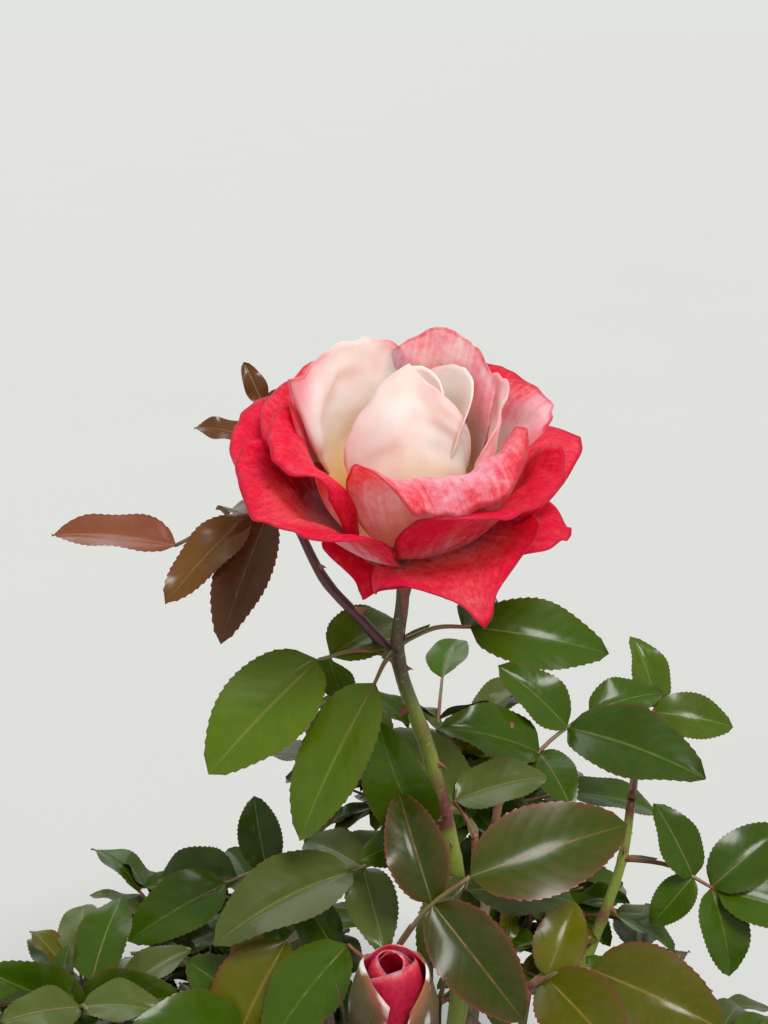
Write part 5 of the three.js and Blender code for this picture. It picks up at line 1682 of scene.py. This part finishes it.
class ROSE_OT_bud(bpy.types.Operator):
    """Grow the opening bud: wound petals held by five sepals"""

    bl_idname = "rosebush.bud"
    bl_label = "Bud"

    def execute(self, context):
        colours = context.scene.rose_bush.colours
        petals = [bud_petal_bmesh(number, *winding) for number, winding in enumerate(BUD_PETALS)]
        skin = petal_material("bud_petal_skin", colours, 0.3)
        finish_piece("bud_wound_petals", join_bmeshes(petals), "crimson_petal", ["bud_petals"], [skin])
        hip = [
            (0, -9.6), (CANES["bud_stalk"]["tip"], -9.6), (3, -7.6), (3.8, -6), (4.3, -4), (4.4, -2.5), (4, -0.3),
            (0, -0.3),
        ]
        midline = [
            (2, -1.5), (BUD_RADIUS * 0.64, 0.4), (BUD_RADIUS * 1.04, BUD_HEIGHT * 0.2),
            (BUD_RADIUS * 1.14, BUD_HEIGHT * 0.45), (BUD_RADIUS * 1.3, BUD_HEIGHT * 0.66),
        ]
        sepals = [sepal_bmesh(midline, SEPAL_WIDTH * 1.15, 22 + 72 * k, 0.3 * (-1) ** k, 1.4) for k in range(5)]
        whole = join_bmeshes([lathe_bmesh(hip, 20), *sepals])
        whole.transform(bloom_frame(BUD_SEAT, BUD_NOD))
        green = skin_material("bud_calyx_skin", colours.sepal, colours.stalk_flush, 0.5)
        finish_piece("bud_sepals", whole, "calyx", ["bud_calyx"], [green])
        return {"FINISHED"}


FLOOR_SIZE = 300.0
CAMERA_PLACE = (-0.0125, -0.443, 0.4753)
CAMERA_PITCH = 72  # degrees up from straight down
CAMERA_LENS, CAMERA_SENSOR = 52.0, 36.0
CAMERA_NEAR, CAMERA_FAR = 0.01, 900


class ROSE_OT_stage(bpy.types.Operator):
    """Lay the floor and set the soft lights and the camera"""

    bl_idname = "rosebush.stage"
    bl_label = "Stage"

    def execute(self, context):
        stage = context.scene.rose_bush.stage
        scene = context.scene
        bm = bmesh.new()
        bmesh.ops.create_grid(bm, x_segments=8, y_segments=8, size=FLOOR_SIZE)
        mesh = bpy.data.meshes.new("floor")
        bm.to_mesh(mesh)
        bm.free()
        floor = bpy.data.objects.new("floor", mesh)
        scene.collection.objects.link(floor)
        material, graph, shader = new_material("plain_floor", stage.floor)
        cloth = graph.noise(graph.coordinates(), 3.0, 2.0, 0.5)
        graph.wire(shader, Base_Color=graph.mix(cloth, stage.floor, shade(stage.floor, 1.03)), Roughness=0.9)
        mesh.materials.append(material)

        def soft_sun(name, azimuth, elevation, strength, angle, tone):
            lamp = bpy.data.lights.new(name, "SUN")
            lamp.energy, lamp.angle, lamp.color = strength, math.radians(angle), tone
            light = bpy.data.objects.new(name, lamp)
            light.rotation_euler = heading(azimuth, elevation).to_track_quat("Z", "Y").to_euler()
            scene.collection.objects.link(light)

        soft_sun("key_light", -62, 55, stage.key_strength, angle=18, tone=(1.0, 0.975, 0.94))
        soft_sun("back_light", 110, 42, stage.back_strength, angle=40, tone=(0.96, 0.98, 1.0))

        world = bpy.data.worlds.new("soft_sky")
        world.use_nodes = True
        graph = Graph(world.node_tree)
        lift = graph.remap(graph.parts(graph.coordinates("Generated"))[2], 0.04, 0.4)
        sky = graph.mix(lift, stage.horizon, stage.zenith)
        graph.wire(world.node_tree.nodes["Background"], Color=sky, Strength=stage.sky_strength)
        scene.world = world
        scene.view_settings.view_transform = "Standard"

        lens = bpy.data.cameras.new("camera")
        lens.lens, lens.sensor_width = CAMERA_LENS, CAMERA_SENSOR
        lens.clip_start, lens.clip_end = CAMERA_NEAR, CAMERA_FAR
        camera = bpy.data.objects.new("camera", lens)
        camera.location = CAMERA_PLACE
        camera.rotation_euler = (math.radians(CAMERA_PITCH), 0, 0)
        scene.collection.objects.link(camera)
        scene.camera = camera
        return {"FINISHED"}


class ROSE_PT_panel(bpy.types.Panel):
    """The operators of the rose bush, in the order in which it is grown"""

    bl_idname = "ROSE_PT_panel"
    bl_label = "Rose Bush"
    bl_space_type = "VIEW_3D"
    bl_region_type = "UI"
    bl_category = "Rose Bush"

    def draw(self, context):
        layout = self.layout
        bush = context.scene.rose_bush
        for operator in STEPS:
            layout.operator(operator.bl_idname)
        for label in ("limbs", "leaves", "petals", "colours", "stage"):
            box = layout.box()
            box.label(text=label.capitalize())
            group = getattr(bush, label)
            for name in group.bl_rna.properties.keys():
                if name not in ("rna_type", "name"):
                    box.prop(group, name)


STEPS = (
    ROSE_OT_main_stem,
    ROSE_OT_canes,
    ROSE_OT_foliage,
    ROSE_OT_bloom,
    ROSE_OT_calyx,
    ROSE_OT_bud,
    ROSE_OT_stage,
)
CLASSES = (
    RoseLimbSettings,
    RoseLeafSettings,
    RosePetalSettings,
    RoseColourSettings,
    RoseStageSettings,
    RoseBushSettings,
    *STEPS,
    ROSE_PT_panel,
)


def register():
    for cls in CLASSES:
        bpy.utils.register_class(cls)
    bpy.types.Scene.rose_bush = bpy.props.PointerProperty(type=RoseBushSettings)


def unregister():
    del bpy.types.Scene.rose_bush
    for cls in reversed(CLASSES):
        bpy.utils.unregister_class(cls)


def main():
    register()
    bpy.ops.rosebush.main_stem()
    bpy.ops.rosebush.canes()
    bpy.ops.rosebush.foliage()
    bpy.ops.rosebush.bloom()
    bpy.ops.rosebush.calyx()
    bpy.ops.rosebush.bud()
    bpy.ops.rosebush.stage()


if __name__ == "__main__":
    main()
